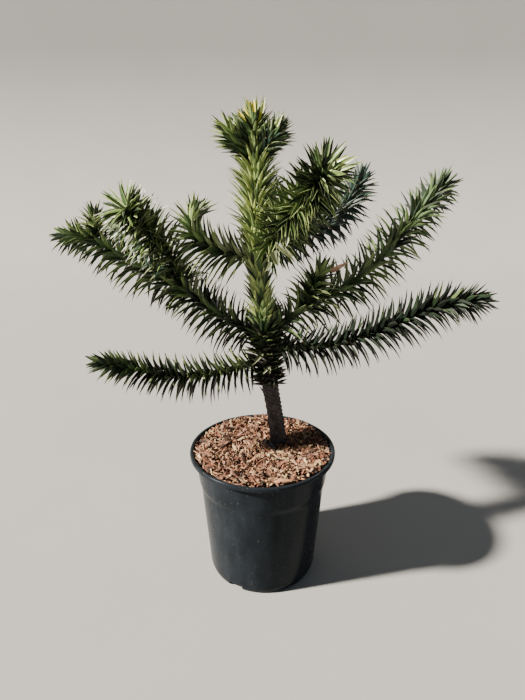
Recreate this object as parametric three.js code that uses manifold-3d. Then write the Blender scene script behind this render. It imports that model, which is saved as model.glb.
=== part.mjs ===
// Monkey puzzle sapling in a plastic nursery pot. Millimetres, +Z up.
// The origin is the centre of the pot's flat underside.
// Headings are degrees seen from above: 0 is right (+X), 90 is back (+Y), 180 is left.
// Climbs are degrees above the level. A list of values is spread evenly along a limb.
import * as THREE from "three";
import { mergeVertices } from "three/addons/utils/BufferGeometryUtils.js";
import Module from "manifold-3d";

const wasm = await Module();
wasm.setup();

// Gap kept between pieces that meet.
const GAP = 0.3;

// Corners nearer than this are one corner.
const WELD = 1e-3;

// Turn from one leaf to the next round its stem.
const GOLDEN_ANGLE = 137.508;

// Steps in the centre line of every limb.
const LINE_STEPS = 40;

// The pot: a tapered wall, a wider collar above a step, and a rolled lip.
const POT = {
  height: 221,
  wall: 2.2,
  floor: 3,
  footRadius: 85,
  footEdgeRadius: 87.8,
  footEdgeHeight: 2.6,
  footCornerHeight: 9,
  cornerRadius: 90,
  stepHeight: 164,
  stepRadius: 101.6,
  collarHeight: 168,
  collarRadius: 104.5,
  lipHeight: 213.5,
  lipRootRadius: 109,
  lipInnerRadius: 113.5,
  lipRadius: 118.3,
  lipRound: 2.2,
  sides: 40,
};
const NOTCH = { count: 4, firstHeading: -120, width: 25, height: 9, depth: 16 };

// What fills the pot: the root ball, and bark mulch on it up to just below the rim.
const ROOT_BALL = { top: 204, inset: 0.5, footInset: 1.5 };
const MULCH = {
  level: 216.5,
  lump: 1.5,
  lumpSize: 17,
  flatToRadius: 18,
  lumpyFromRadius: 34,
  calmFromRadius: 84,
  rings: 6,
  sectors: 26,
  edgeGap: 1.1,
};
const CHIP = { count: 16, lengths: [12, 26], widths: [4, 9], thickness: 2.4, tilt: 0.25, rise: 0.6 };

// The trunk leans left as it rises: its centre and radius at some heights.
const TRUNK = {
  foot: 216.3,
  y: 20,
  line: [
    { z: 216, x: 27.5, radius: 14.8 },
    { z: 229, x: 26, radius: 12.9 },
    { z: 272, x: 20.5, radius: 12.3 },
    { z: 319, x: 12.8, radius: 12.6 },
    { z: 383, x: 6, radius: 11.2 },
    { z: 450, x: -1, radius: 8.6 },
    { z: 524, x: -7, radius: 7.2 },
    { z: 577, x: -10, radius: 6.4 },
    { z: 637, x: -9, radius: 5.2 },
    { z: 690, x: -11, radius: 4 },
    { z: 708, x: -11.6, radius: 2.4 },
  ],
  sides: 10,
  scaleTop: 336,
  scaleStep: 5,
  scaleDepth: 0.8,
  leafyStep: 34,
};

// Leaves of a stem: stiff flat spears with a keel below, longest in the middle of a branch.
// Droop, jitter and the spread of the last leaf, the bud, are degrees.
const LEAF = {
  width: 12,
  widestAt: 0.3,
  keel: 2.8,
  droop: 4,
  longerBelow: 0.15,
  jitter: 5,
  lengthJitter: 0.12,
  budSpread: 4,
  budRoot: 6,
};
const STEM = { sides: 3, step: 24, tipRadius: 1.8 };
const BOUGH = { sides: 6, step: 10, flare: 1.25 };

// Branches from the trunk at their base heights, with forks at a share of their length.
const BRANCHES = {
  left_low: {
    base: 367,
    headings: [195, 200, 196],
    climbs: [-12, -5, 18, 19],
    length: 253,
    bough: 22,
    radius: 5.5,
    leaves: { lengths: [34, 41, 36, 26], spreads: [76, 74, 66, 46], spacing: 5.6 },
  },
  left_high: {
    base: 398,
    headings: [164, 160, 158],
    climbs: [29, 22, 30, 38],
    length: 168,
    bough: 23,
    radius: 6.5,
    leaves: { lengths: [44, 52, 50, 44], spreads: [76, 74, 72, 62], spacing: 5.6 },
    forks: [
      {
        at: 0.98,
        headings: [192, 222, 226],
        climbs: [94, 54, 47, 43],
        length: 151,
        radius: 5,
        leaves: { lengths: [46, 52, 50, 46], spreads: [74, 70, 68, 64], spacing: 5.4 },
      },
      {
        at: 0.86,
        headings: [158, 164, 170],
        climbs: [23, 23, 28, 1],
        length: 230,
        radius: 5,
        leaves: { lengths: [46, 52, 46, 31], spreads: [76, 74, 70, 50], spacing: 5.4 },
        forks: [
          {
            at: 0.76,
            headings: [196, 190],
            climbs: [88, 88],
            length: 39,
            radius: 3.4,
            leaves: { lengths: [28, 32, 30], spreads: [64, 60, 50], spacing: 5.4 },
          },
        ],
      },
    ],
  },
  right_low: {
    base: 386,
    headings: [-20, -16, -10],
    climbs: [8, 10, 26, 31, 6],
    length: 314,
    bough: 22,
    radius: 6,
    leaves: { lengths: [38, 43, 44, 32], spreads: [70, 66, 64, 50], spacing: 5.6 },
  },
  right_high: {
    base: 403,
    headings: [20, 26, 36],
    climbs: [37, 18, 45, 36],
    length: 402,
    bough: 23,
    radius: 6.5,
    leaves: { lengths: [46, 50, 54, 38], spreads: [76, 72, 70, 54], spacing: 5.8 },
    forks: [
      {
        at: 0.19,
        headings: [-12, -2, 4],
        climbs: [72, 66, 68],
        length: 58,
        radius: 4.2,
        leaves: { lengths: [40, 42, 38], spreads: [68, 64, 52], spacing: 5.6 },
      },
    ],
  },
  back_low: {
    base: 391,
    headings: [86, 84, 88],
    climbs: [6, 8, 14],
    length: 120,
    bough: 21,
    radius: 5,
    leaves: { lengths: [34, 38, 32], spreads: [72, 68, 50], spacing: 5.6 },
  },
  upper_left: {
    base: 523,
    headings: [196, 190, 184],
    climbs: [18, 16, 29, 124],
    length: 131,
    bough: 18,
    radius: 4.6,
    leaves: { lengths: [46, 50, 44, 36], spreads: [62, 58, 52, 38], spacing: 5.4 },
  },
  upper_front: {
    base: 539,
    headings: [-50, -56, -54],
    climbs: [14, 48, 38, 45],
    length: 178,
    bough: 18,
    radius: 5.2,
    leaves: { lengths: [44, 48, 46, 44], spreads: [68, 68, 71, 68], spacing: 5.2 },
  },
  upper_right: {
    base: 529,
    headings: [36, 42, 40],
    climbs: [22, 15, 15, 66],
    length: 250,
    bough: 18,
    radius: 5.2,
    leaves: { lengths: [42, 46, 44, 36], spreads: [66, 66, 64, 50], spacing: 5.6 },
  },
  upper_back: {
    base: 550,
    headings: [74, 80, 78],
    climbs: [30, 38, 48],
    length: 116,
    bough: 17,
    radius: 4.4,
    leaves: { lengths: [38, 42, 34], spreads: [66, 62, 50], spacing: 5.6 },
  },
};

// Short young shoots round the leader, set straight on the trunk.
const CROWN_LEAVES = { lengths: [38, 38, 34], spreads: [46, 46, 40], spacing: 3.4 };
const CROWN_SHOOTS = {
  left: { base: 662, headings: [190, 196], climbs: [40, 52], length: 46 },
  front: { base: 656, headings: [-34, -26], climbs: [50, 58], length: 48 },
  right: { base: 664, headings: [30, 34], climbs: [42, 54], length: 46 },
  back: { base: 668, headings: [122, 128], climbs: [46, 56], length: 42 },
};
const CROWN_RADIUS = 3;
const CROWN_SOCKET = 4.2;

// Leaves on the trunk itself, in stretches of a thin sleeve that fits round it.
const SLEEVE_WALL = 1.6;
const SLEEVES = {
  trunk_low: {
    from: 323,
    to: 419,
    leaves: { lengths: [24, 30, 32], spreads: [78, 62, 48], spacing: 4 },
  },
  trunk_middle: {
    from: 419,
    to: 554,
    leaves: { lengths: [34, 36, 40], spreads: [40, 28, 46], spacing: 3.8 },
  },
  trunk_upper: {
    from: 554,
    to: 660,
    leaves: { lengths: [44, 46, 42], spreads: [50, 54, 46], spacing: 3.8 },
  },
  leader: {
    from: 660,
    to: 713,
    leaves: { lengths: [40, 40, 40, 38], spreads: [42, 44, 40, 26], spacing: 2.1 },
  },
};

const COLOURS = {
  pot: { color: 0x2c2f31, roughness: 0.34, metalness: 0 },
  soil: { color: 0x3a2a20, roughness: 0.95, metalness: 0 },
  mulch: { color: 0x9a6142, roughness: 0.9, metalness: 0 },
  bark: { color: 0x3b2f2a, roughness: 0.85, metalness: 0 },
  leaf: { color: 0x3f5f2a, roughness: 0.5, metalness: 0 },
  youngLeaf: { color: 0x86a03a, roughness: 0.5, metalness: 0 },
};

// Same numbers on every run.
function seededRandom(seed) {
  let state = seed >>> 0;
  return () => {
    state = (Math.imul(state, 1664525) + 1013904223) >>> 0;
    return state / 4294967296;
  };
}

// The value at share t of a list of evenly spaced values.
function along(values, t) {
  const place = THREE.MathUtils.clamp(t, 0, 1) * (values.length - 1);
  const before = Math.min(Math.floor(place), values.length - 2);
  return THREE.MathUtils.lerp(values[before], values[before + 1], place - before);
}

// A manifold solid from a closed geometry, without its seams and its empty faces.
function solidFrom(geometry) {
  const bare = geometry.clone();
  bare.deleteAttribute("normal");
  bare.deleteAttribute("uv");
  const merged = mergeVertices(bare, WELD);
  const corners = merged.index.array;
  const kept = [];
  for (let i = 0; i < corners.length; i += 3) {
    const [a, b, c] = corners.slice(i, i + 3);
    if (a !== b && b !== c && c !== a) kept.push(a, b, c);
  }
  const { Manifold, Mesh } = wasm;
  return new Manifold(
    new Mesh({
      numProp: 3,
      vertProperties: Float32Array.from(merged.attributes.position.array),
      triVerts: Uint32Array.from(kept),
    }),
  );
}

// A geometry from a list of points and a list of faces.
function geometryOf(points, faces) {
  const geometry = new THREE.BufferGeometry();
  const flat = points.flatMap((p) => p.toArray());
  geometry.setAttribute("position", new THREE.Float32BufferAttribute(flat, 3));
  geometry.setIndex(faces.flat());
  return geometry;
}

// The geometry of a solid.
function geometryFrom(solid) {
  const { vertProperties, triVerts } = solid.getMesh();
  const geometry = new THREE.BufferGeometry();
  geometry.setAttribute("position", new THREE.BufferAttribute(vertProperties, 3));
  geometry.setIndex(new THREE.BufferAttribute(triVerts, 1));
  return geometry;
}

// The largest body of a solid: fills what fusing sealed, and drops loose scrap.
function wholeBody(solid) {
  const bodies = solidFrom(geometryFrom(solid)).decompose();
  return bodies.reduce((best, body) => (body.volume() > best.volume() ? body : best));
}

// A closed tube through stations, each with a centre, two directions across it and a radius.
function tube(stations, sides) {
  const points = [];
  const faces = [];
  stations.forEach(({ centre, side, over, radius }) => {
    for (let i = 0; i < sides; i++) {
      const turn = (2 * Math.PI * i) / sides;
      points.push(
        centre
          .clone()
          .addScaledVector(side, Math.cos(turn) * radius)
          .addScaledVector(over, Math.sin(turn) * radius),
      );
    }
  });
  const rings = stations.length;
  for (let ring = 0; ring < rings - 1; ring++) {
    for (let i = 0; i < sides; i++) {
      const a = ring * sides + i;
      const b = ring * sides + ((i + 1) % sides);
      faces.push([a, b, b + sides], [a, b + sides, a + sides]);
    }
  }
  const last = (rings - 1) * sides;
  for (let i = 1; i < sides - 1; i++) {
    faces.push([0, i + 1, i], [last, last + i, last + i + 1]);
  }
  return solidFrom(geometryOf(points, faces));
}

// The direction of a heading and a climb in degrees.
function direction(heading, climb) {
  const turn = THREE.MathUtils.degToRad(heading);
  const rise = THREE.MathUtils.degToRad(climb);
  return new THREE.Vector3(
    Math.cos(turn) * Math.cos(rise),
    Math.sin(turn) * Math.cos(rise),
    Math.sin(rise),
  );
}

// Centre line of a limb, as fine steps with their directions.
function growLine(start, { headings, climbs, length }) {
  const steps = LINE_STEPS;
  const line = [];
  const centre = start.clone();
  for (let i = 0; i <= steps; i++) {
    const t = i / steps;
    line.push({ centre: centre.clone(), tangent: direction(along(headings, t), along(climbs, t)) });
    const middle = t + 0.5 / steps;
    centre.addScaledVector(direction(along(headings, middle), along(climbs, middle)), length / steps);
  }
  let side = new THREE.Vector3(0, 0, 1).cross(line[0].tangent);
  if (side.length() < 0.1) side.set(1, 0, 0);
  line.forEach((step) => {
    side.addScaledVector(step.tangent, -side.dot(step.tangent)).normalize();
    step.side = side.clone();
    step.over = step.tangent.clone().cross(side);
  });
  return { line, length };
}

// Centre, tangent and cross directions of a limb at a distance along it.
function stationAt({ line, length }, distance) {
  const place = THREE.MathUtils.clamp(distance / length, 0, 1) * (line.length - 1);
  const before = Math.min(Math.floor(place), line.length - 2);
  const a = line[before];
  const b = line[before + 1];
  const share = place - before;
  const tangent = a.tangent.clone().lerp(b.tangent, share).normalize();
  const side = a.side.clone().lerp(b.side, share);
  side.addScaledVector(tangent, -side.dot(tangent)).normalize();
  return {
    centre: a.centre.clone().lerp(b.centre, share),
    tangent,
    side,
    over: tangent.clone().cross(side),
  };
}

// A tapering stretch of a limb between two distances along it.
function limbTube(limb, from, to, radii, { sides, step }) {
  const steps = Math.max(1, Math.round((to - from) / step));
  const stations = [];
  for (let i = 0; i <= steps; i++) {
    const station = stationAt(limb, from + ((to - from) * i) / steps);
    stations.push({ ...station, radius: along(radii, i / steps) });
  }
  return tube(stations, sides);
}

// One leaf: flat above, keeled below, widest near its root and sharp at its tip.
function leafSolid(root, pointing, upper, length) {
  const across = pointing.clone().cross(upper).normalize();
  const widest = root.clone().addScaledVector(pointing, length * LEAF.widestAt);
  const points = [
    root,
    widest.clone().addScaledVector(across, LEAF.width / 2),
    widest.clone().addScaledVector(across, -LEAF.width / 2),
    widest.clone().addScaledVector(upper, -LEAF.keel),
    root.clone().addScaledVector(pointing, length),
  ];
  const faces = [
    [0, 1, 2],
    [0, 3, 1],
    [0, 2, 3],
    [4, 2, 1],
    [4, 1, 3],
    [4, 3, 2],
  ];
  return solidFrom(geometryOf(points, faces));
}

// Where and how each leaf of a stem grows: a spiral by the golden angle, spread less towards the tip.
// The stem is given by its length, and by its station, radius and root depth at a distance.
function growLeaves({ length, place }, { lengths, spreads, spacing }, random) {
  const count = Math.floor(length / spacing);
  const leaves = [];
  for (let i = 0; i <= count; i++) {
    const t = i / count;
    const { centre, tangent, side, over, radius, rootAt } = place(t * length);
    const turn = THREE.MathUtils.degToRad(i * GOLDEN_ANGLE + (random() - 0.5) * LEAF.jitter);
    const outward = side
      .clone()
      .multiplyScalar(Math.cos(turn))
      .addScaledVector(over, Math.sin(turn));
    const last = i === count;
    const spread = THREE.MathUtils.degToRad(
      last
        ? LEAF.budSpread
        : along(spreads, t) - LEAF.droop * outward.z + (random() - 0.5) * LEAF.jitter,
    );
    const pointing = tangent
      .clone()
      .multiplyScalar(Math.cos(spread))
      .addScaledVector(outward, Math.sin(spread));
    const upper = tangent.clone().addScaledVector(pointing, -tangent.dot(pointing));
    if (upper.length() < 1e-3 || last) upper.copy(outward).negate();
    upper.addScaledVector(pointing, -upper.dot(pointing)).normalize();
    const share =
      1 + (random() - 0.5) * LEAF.lengthJitter - LEAF.longerBelow * (1 - tangent.z) * outward.z;
    const depth = last ? LEAF.budRoot : radius - rootAt;
    const root = last
      ? centre.clone().addScaledVector(tangent, -depth)
      : centre.clone().addScaledVector(outward, rootAt);
    const reach = along(lengths, t) * share + depth;
    leaves.push(leafSolid(root, pointing, upper, reach));
  }
  return leaves;
}

// Whether a solid keeps its gap to all the others that are near it.
function isClear(solid, others) {
  const box = solid.boundingBox();
  return others.every((other) => {
    const near = other.boundingBox();
    const apart = [0, 1, 2].some(
      (k) => box.min[k] > near.max[k] + GAP || near.min[k] > box.max[k] + GAP,
    );
    return apart || solid.minGap(other, 2 * GAP) >= GAP;
  });
}

// The stem of a limb and its forks, with the leaves that have room, as one solid.
function foliageOf(limb, spec, from, others, random) {
  const radii = [spec.radius, STEM.tipRadius];
  const stem = limbTube(limb, from, limb.length, radii, STEM);
  const length = limb.length - from;
  const place = (distance) => ({
    ...stationAt(limb, from + distance),
    radius: along(radii, distance / length),
    rootAt: 0,
  });
  const leaves = growLeaves({ length, place }, spec.leaves, random);
  const parts = [stem, ...leaves.filter((leaf) => isClear(leaf, others))];
  (spec.forks ?? []).forEach((fork) => {
    const { centre } = stationAt(limb, fork.at * limb.length);
    const forkLimb = growLine(centre, fork);
    parts.push(foliageOf(forkLimb, fork, 0, others, random));
  });
  return wholeBody(wasm.Manifold.union(parts));
}

// Centre and radius of the trunk at a height, with a smooth lean.
const leanCurve = new THREE.CatmullRomCurve3(
  TRUNK.line.map(({ z, x }) => new THREE.Vector3(x, TRUNK.y, z)),
);

function trunkStation(z) {
  const { line } = TRUNK;
  const above = line.findIndex((station) => station.z >= z);
  const next = above < 0 ? line.length - 1 : Math.max(above, 1);
  const a = line[next - 1];
  const b = line[next];
  const share = THREE.MathUtils.clamp((z - a.z) / (b.z - a.z), 0, 1);
  const place = (next - 1 + share) / (line.length - 1);
  const { x } = leanCurve.getPoint(place);
  const tangent = leanCurve.getTangent(place);
  const side = new THREE.Vector3(1, 0, 0).addScaledVector(tangent, -tangent.x).normalize();
  return {
    centre: new THREE.Vector3(x, TRUNK.y, z),
    radius: THREE.MathUtils.lerp(a.radius, b.radius, share),
    tangent,
    side,
    over: tangent.clone().cross(side),
  };
}

// The trunk between two heights, its radius larger by an extra.
function trunkTube(from, to, extra, heights) {
  const stations = heights
    .filter((z) => z > from + 1 && z < to - 1)
    .concat([from, to])
    .sort((a, b) => a - b)
    .map((z) => {
      const { centre, radius } = trunkStation(z);
      return {
        centre,
        side: new THREE.Vector3(1, 0, 0),
        over: new THREE.Vector3(0, 1, 0),
        radius: radius + extra,
      };
    });
  return tube(stations, TRUNK.sides);
}

// Heights of the trunk's rings: close on the bare part, wide among the leaves.
function trunkHeights() {
  const top = TRUNK.line.at(-1).z;
  const heights = [];
  for (let z = TRUNK.foot; z < TRUNK.scaleTop; z += TRUNK.scaleStep) heights.push(z);
  for (let z = TRUNK.scaleTop; z < top; z += TRUNK.leafyStep) heights.push(z);
  heights.push(top);
  return heights;
}

// The bare trunk's rows of old leaf scars leave a groove at every other ring.
function makeTrunk() {
  const stations = trunkHeights().map((z, i) => {
    const { centre, radius } = trunkStation(z);
    const grooved = z < TRUNK.scaleTop && i % 2 === 0;
    return {
      centre,
      side: new THREE.Vector3(1, 0, 0),
      over: new THREE.Vector3(0, 1, 0),
      radius: grooved ? radius - TRUNK.scaleDepth : radius,
    };
  });
  return tube(stations, TRUNK.sides);
}

// A solid of revolution round the pot's axis from an outline of [radius, height] pairs.
function turned(outline, sides) {
  const profile = outline.map(([r, z]) => new THREE.Vector2(r, z));
  const geometry = new THREE.LatheGeometry(profile, sides);
  geometry.rotateX(Math.PI / 2);
  const solid = solidFrom(geometry);
  return solid.volume() > 0 ? solid : solidFrom(flipped(geometry));
}

// The same geometry with its faces turned round.
function flipped(geometry) {
  const other = geometry.clone();
  const { array } = other.index;
  for (let i = 0; i < array.length; i += 3) {
    [array[i + 1], array[i + 2]] = [array[i + 2], array[i + 1]];
  }
  return other;
}

// Inner radius of the pot's wall at a height: it flares outwards behind the lip.
function potInside(z) {
  const p = POT;
  if (z < p.stepHeight) {
    const share = (z - p.footCornerHeight) / (p.stepHeight - p.footCornerHeight);
    return THREE.MathUtils.lerp(p.cornerRadius, p.stepRadius, share) - p.wall;
  }
  if (z > p.lipHeight) {
    const share = (z - p.lipHeight) / (p.height - p.lipHeight);
    return THREE.MathUtils.lerp(p.lipRootRadius - p.wall, p.lipInnerRadius, share);
  }
  const share = (z - p.collarHeight) / (p.lipHeight - p.collarHeight);
  return THREE.MathUtils.lerp(p.collarRadius, p.lipRootRadius, share) - p.wall;
}

function makePot() {
  const p = POT;
  const top = p.height;
  const shell = turned(
    [
      [0, 0],
      [p.footRadius, 0],
      [p.footEdgeRadius, p.footEdgeHeight],
      [p.cornerRadius, p.footCornerHeight],
      [p.stepRadius, p.stepHeight],
      [p.collarRadius, p.collarHeight],
      [p.lipRootRadius, p.lipHeight],
      [p.lipRadius - p.lipRound, p.lipHeight],
      [p.lipRadius, p.lipHeight + p.lipRound],
      [p.lipRadius, top - p.lipRound],
      [p.lipRadius - p.lipRound, top],
      [potInside(top), top],
      [potInside(p.lipHeight), p.lipHeight],
      [potInside(p.collarHeight), p.collarHeight],
      [potInside(p.stepHeight - p.wall), p.stepHeight - p.wall],
      [potInside(p.footCornerHeight), p.footCornerHeight],
      [p.footRadius - p.wall, p.floor],
      [0, p.floor],
    ],
    p.sides,
  );
  let pot = shell;
  for (let i = 0; i < NOTCH.count; i++) {
    const cutter = new THREE.BoxGeometry(NOTCH.depth, NOTCH.width, 2 * NOTCH.height);
    cutter.translate(p.footRadius, 0, 0);
    cutter.rotateZ(THREE.MathUtils.degToRad(NOTCH.firstHeading + (360 * i) / NOTCH.count));
    pot = pot.subtract(solidFrom(cutter));
  }
  return wholeBody(pot);
}

function makeRootBall() {
  const { floor, footRadius, footCornerHeight, stepHeight, collarHeight, wall, sides } = POT;
  const { top, inset, footInset } = ROOT_BALL;
  const sideHeights = [footCornerHeight + 1, stepHeight - wall, collarHeight, top];
  return turned(
    [
      [0, floor + GAP],
      [footRadius - wall - footInset, floor + GAP],
      ...sideHeights.map((z) => [potInside(z) - inset, z]),
      [0, top],
    ],
    sides,
  );
}

// A smooth uneven surface between about -1 and 1: waves across each other.
const WAVES = [
  { x: 1, y: 0.3, shift: 0 },
  { x: -0.4, y: 1.1, shift: 1.7 },
  { x: 0.8, y: 0.9, shift: 4.1 },
  { x: 1.7, y: -1.3, shift: 2.6 },
  { x: -2.1, y: 0.7, shift: 5.2 },
];

function lumps(x, y) {
  const heights = WAVES.map((wave) => Math.sin((wave.x * x + wave.y * y) / MULCH.lumpSize + wave.shift));
  return heights.reduce((sum, height) => sum + height, 0) / 3;
}

// Height of the mulch: lumpy, but level at the pot's wall and under the trunk's foot.
function mulchHeight(x, y) {
  const { smoothstep } = THREE.MathUtils;
  const foot = trunkStation(TRUNK.foot).centre;
  const fromFoot = Math.hypot(x - foot.x, y - foot.y);
  const nearFoot = smoothstep(fromFoot, MULCH.flatToRadius, MULCH.lumpyFromRadius);
  const calm = 1 - smoothstep(Math.hypot(x, y), MULCH.calmFromRadius, potInside(MULCH.level));
  const ground = TRUNK.foot - GAP;
  return ground + nearFoot * (MULCH.level - ground + MULCH.lump * calm * lumps(x, y));
}

// A flat chip of bark lying somewhere on the mulch.
function makeChip(x, y, random) {
  const { lengths, widths, thickness, tilt, rise } = CHIP;
  const chip = new THREE.BoxGeometry(along(lengths, random()), along(widths, random()), thickness);
  chip.rotateY((random() - 0.5) * 2 * tilt);
  chip.rotateX((random() - 0.5) * 2 * tilt);
  chip.rotateZ(random() * Math.PI);
  chip.translate(x, y, MULCH.level + rise);
  return solidFrom(chip);
}

// The chips, spread evenly by chance, clear of the pot's wall and of the trunk.
function makeChips(random) {
  const foot = trunkStation(TRUNK.foot).centre;
  const reach = potInside(ROOT_BALL.top) - MULCH.edgeGap - along(CHIP.lengths, 0.5);
  const chips = [];
  while (chips.length < CHIP.count) {
    const turn = random() * 2 * Math.PI;
    const radius = reach * Math.sqrt(random());
    const x = Math.cos(turn) * radius;
    const y = Math.sin(turn) * radius;
    const away = Math.hypot(x - foot.x, y - foot.y);
    if (away > MULCH.lumpyFromRadius) chips.push(makeChip(x, y, random));
  }
  return chips;
}

// The bed of mulch: rings of lumpy surface, then sides that follow the pot down to the root ball.
function makeMulch(random) {
  const base = ROOT_BALL.top + GAP;
  const { level, edgeGap, rings, sectors } = MULCH;
  const edge = potInside(level) - edgeGap;
  const points = [new THREE.Vector3(0, 0, mulchHeight(0, 0))];
  const addRing = (radius, heightAt) => {
    for (let sector = 0; sector < sectors; sector++) {
      const turn = (2 * Math.PI * sector) / sectors;
      const x = Math.cos(turn) * radius;
      const y = Math.sin(turn) * radius;
      points.push(new THREE.Vector3(x, y, heightAt(x, y)));
    }
  };
  for (let ring = 1; ring <= rings; ring++) addRing((edge * ring) / rings, mulchHeight);
  for (const z of [POT.lipHeight, base]) addRing(potInside(z) - edgeGap, () => z);
  points.push(new THREE.Vector3(0, 0, base));
  const faces = [];
  const lastRing = 1 + (rings + 1) * sectors;
  for (let i = 0; i < sectors; i++) {
    const j = (i + 1) % sectors;
    faces.push([0, 1 + i, 1 + j]);
    for (let a = 1; a < lastRing; a += sectors) {
      const b = a + sectors;
      faces.push([a + i, b + i, b + j], [a + i, b + j, a + j]);
    }
    faces.push([points.length - 1, lastRing + j, lastRing + i]);
  }
  const bed = solidFrom(geometryOf(points, faces));
  return wholeBody(wasm.Manifold.union([bed, ...makeChips(random)]));
}

// A limb that starts on the trunk's centre line.
function branchLimb(spec) {
  return growLine(trunkStation(spec.base).centre, spec);
}

// The bare foot of a branch, flared where it leaves the trunk.
function boughTube(limb, spec, extra) {
  const radii = [
    spec.radius * BOUGH.flare + extra,
    spec.radius * BOUGH.flare + extra,
    spec.radius + extra,
    spec.radius + extra,
  ];
  return limbTube(limb, 0, spec.bough, radii, BOUGH);
}

// The thin wall of a sleeve round a stretch of trunk, before the trunk is cut out of it.
function sleeveWall({ from, to }) {
  return trunkTube(from + GAP / 2, to - GAP / 2, GAP + SLEEVE_WALL, trunkHeights());
}

// Leaves on a stretch of trunk, on a sleeve that is cut clear of the trunk and the limbs.
function makeSleeve({ from, to, leaves }, wall, clearances, others, random) {
  const length = to - from - GAP;
  const place = (distance) => {
    const station = trunkStation(from + GAP / 2 + distance);
    return { ...station, rootAt: station.radius + GAP + SLEEVE_WALL / 2 };
  };
  const grown = growLeaves({ length, place }, leaves, random);
  const kept = grown.filter((leaf) => isClear(leaf, others));
  let sleeve = wasm.Manifold.union([wall, ...kept]);
  clearances.forEach((clearance) => {
    sleeve = sleeve.subtract(clearance);
  });
  return wholeBody(sleeve);
}

// Builds every solid, each kept clear of those before it.
function buildSolids() {
  const random = seededRandom(1471);
  const solids = {};
  solids.pot = makePot();
  solids.root_ball = makeRootBall();
  solids.bark_mulch = makeMulch(random);
  solids.trunk = makeTrunk();

  const top = TRUNK.line.at(-1).z;
  const heights = trunkHeights();
  const trunkClear = trunkTube(TRUNK.foot, top + 2, GAP, heights);
  const trunkSpace = trunkTube(SLEEVES.trunk_low.from, top + 4, 2 * GAP + SLEEVE_WALL, heights);
  const clearances = [trunkClear];

  const limbs = {};
  for (const [name, spec] of Object.entries(BRANCHES)) {
    limbs[name] = branchLimb(spec);
    solids["bough_" + name] = wholeBody(boughTube(limbs[name], spec, 0).subtract(trunkClear));
    clearances.push(boughTube(limbs[name], spec, GAP));
  }

  const boughs = Object.keys(BRANCHES).map((name) => solids["bough_" + name]);
  const masses = [];
  for (const [name, spec] of Object.entries(BRANCHES)) {
    const others = [solids.bark_mulch, solids.pot, trunkSpace, ...boughs, ...masses];
    const mass = foliageOf(limbs[name], spec, spec.bough + GAP, others, random);
    solids["foliage_" + name] = mass;
    masses.push(mass);
  }

  const shoots = Object.entries(CROWN_SHOOTS).map(([name, spec]) => [name, spec, branchLimb(spec)]);
  const sockets = shoots.map(([, spec, limb]) =>
    limbTube(limb, 0, spec.length, [CROWN_SOCKET, CROWN_SOCKET], BOUGH),
  );
  const stretches = Object.entries(SLEEVES);
  const walls = stretches.map(([, spec]) => sleeveWall(spec));
  stretches.forEach(([name, spec], i) => {
    const cuts = [...clearances, ...sockets];
    const others = [...boughs, ...sockets, ...masses, ...walls.slice(i + 1)];
    const sleeve = makeSleeve(spec, walls[i], cuts, others, random);
    solids["foliage_" + name] = sleeve;
    masses.push(sleeve);
  });

  for (const [name, spec, limb] of shoots) {
    const from = trunkStation(spec.base).radius + 2 * GAP;
    const shoot = { ...spec, radius: CROWN_RADIUS, leaves: CROWN_LEAVES };
    const others = [trunkSpace, ...boughs, ...masses];
    const mass = foliageOf(limb, shoot, from, others, random).subtract(trunkClear);
    solids["foliage_crown_" + name] = wholeBody(mass);
    masses.push(solids["foliage_crown_" + name]);
  }
  return solids;
}

// A named mesh of a finished solid.
function meshOf(name, solid, look) {
  const material = new THREE.MeshStandardMaterial({ ...look, flatShading: true });
  const mesh = new THREE.Mesh(geometryFrom(solid), material);
  mesh.name = name;
  return mesh;
}

function lookOf(name) {
  if (name === "pot") return COLOURS.pot;
  if (name === "root_ball") return COLOURS.soil;
  if (name === "bark_mulch") return COLOURS.mulch;
  if (name === "trunk" || name.startsWith("bough_")) return COLOURS.bark;
  return name.includes("crown") || name.includes("leader") ? COLOURS.youngLeaf : COLOURS.leaf;
}

const sapling = new THREE.Group();
sapling.name = "monkey_puzzle_sapling";
for (const [name, solid] of Object.entries(buildSolids())) {
  sapling.add(meshOf(name, solid, lookOf(name)));
}

export default sapling;
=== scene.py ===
import functools
import math
from dataclasses import dataclass
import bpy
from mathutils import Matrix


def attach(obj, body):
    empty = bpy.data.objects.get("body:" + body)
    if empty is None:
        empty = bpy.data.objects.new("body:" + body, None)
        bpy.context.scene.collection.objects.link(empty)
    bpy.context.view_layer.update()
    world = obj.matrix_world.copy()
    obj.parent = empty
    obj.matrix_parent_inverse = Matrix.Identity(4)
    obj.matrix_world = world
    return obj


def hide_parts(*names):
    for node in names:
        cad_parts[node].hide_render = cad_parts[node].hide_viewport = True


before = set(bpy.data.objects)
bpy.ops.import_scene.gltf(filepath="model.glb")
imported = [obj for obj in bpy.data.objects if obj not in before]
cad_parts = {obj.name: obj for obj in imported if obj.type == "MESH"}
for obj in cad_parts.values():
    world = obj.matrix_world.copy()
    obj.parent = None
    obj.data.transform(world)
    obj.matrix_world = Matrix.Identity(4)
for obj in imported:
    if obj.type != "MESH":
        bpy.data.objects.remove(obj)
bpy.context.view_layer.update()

from types import SimpleNamespace as Settings

import bpy
import numpy as np
from mathutils import Vector

# Monkey puzzle sapling in a plastic nursery pot: the looks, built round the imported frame.
# Sizes are millimetres until a mesh is made, where MM turns them into metres.
# Headings are degrees seen from above: 0 is right (+X), 90 is back (+Y), 180 is left.
# Climbs are degrees above the level. A list of values is spread evenly along a limb.
MM = 0.001
BODY = "root"
RIGHT, BACK, UP = np.eye(3)
PLANT_SEED = 1471
FILLING_SEED = 208

# The camera that took the photograph, in metres, with its focal length in the photograph's pixels.
PHOTO_HEIGHT = 700
CAMERA = Settings(place=(0.0, -0.766, 0.670), pitch=20.09, focal=533.0, sensor=36.0)

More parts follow.
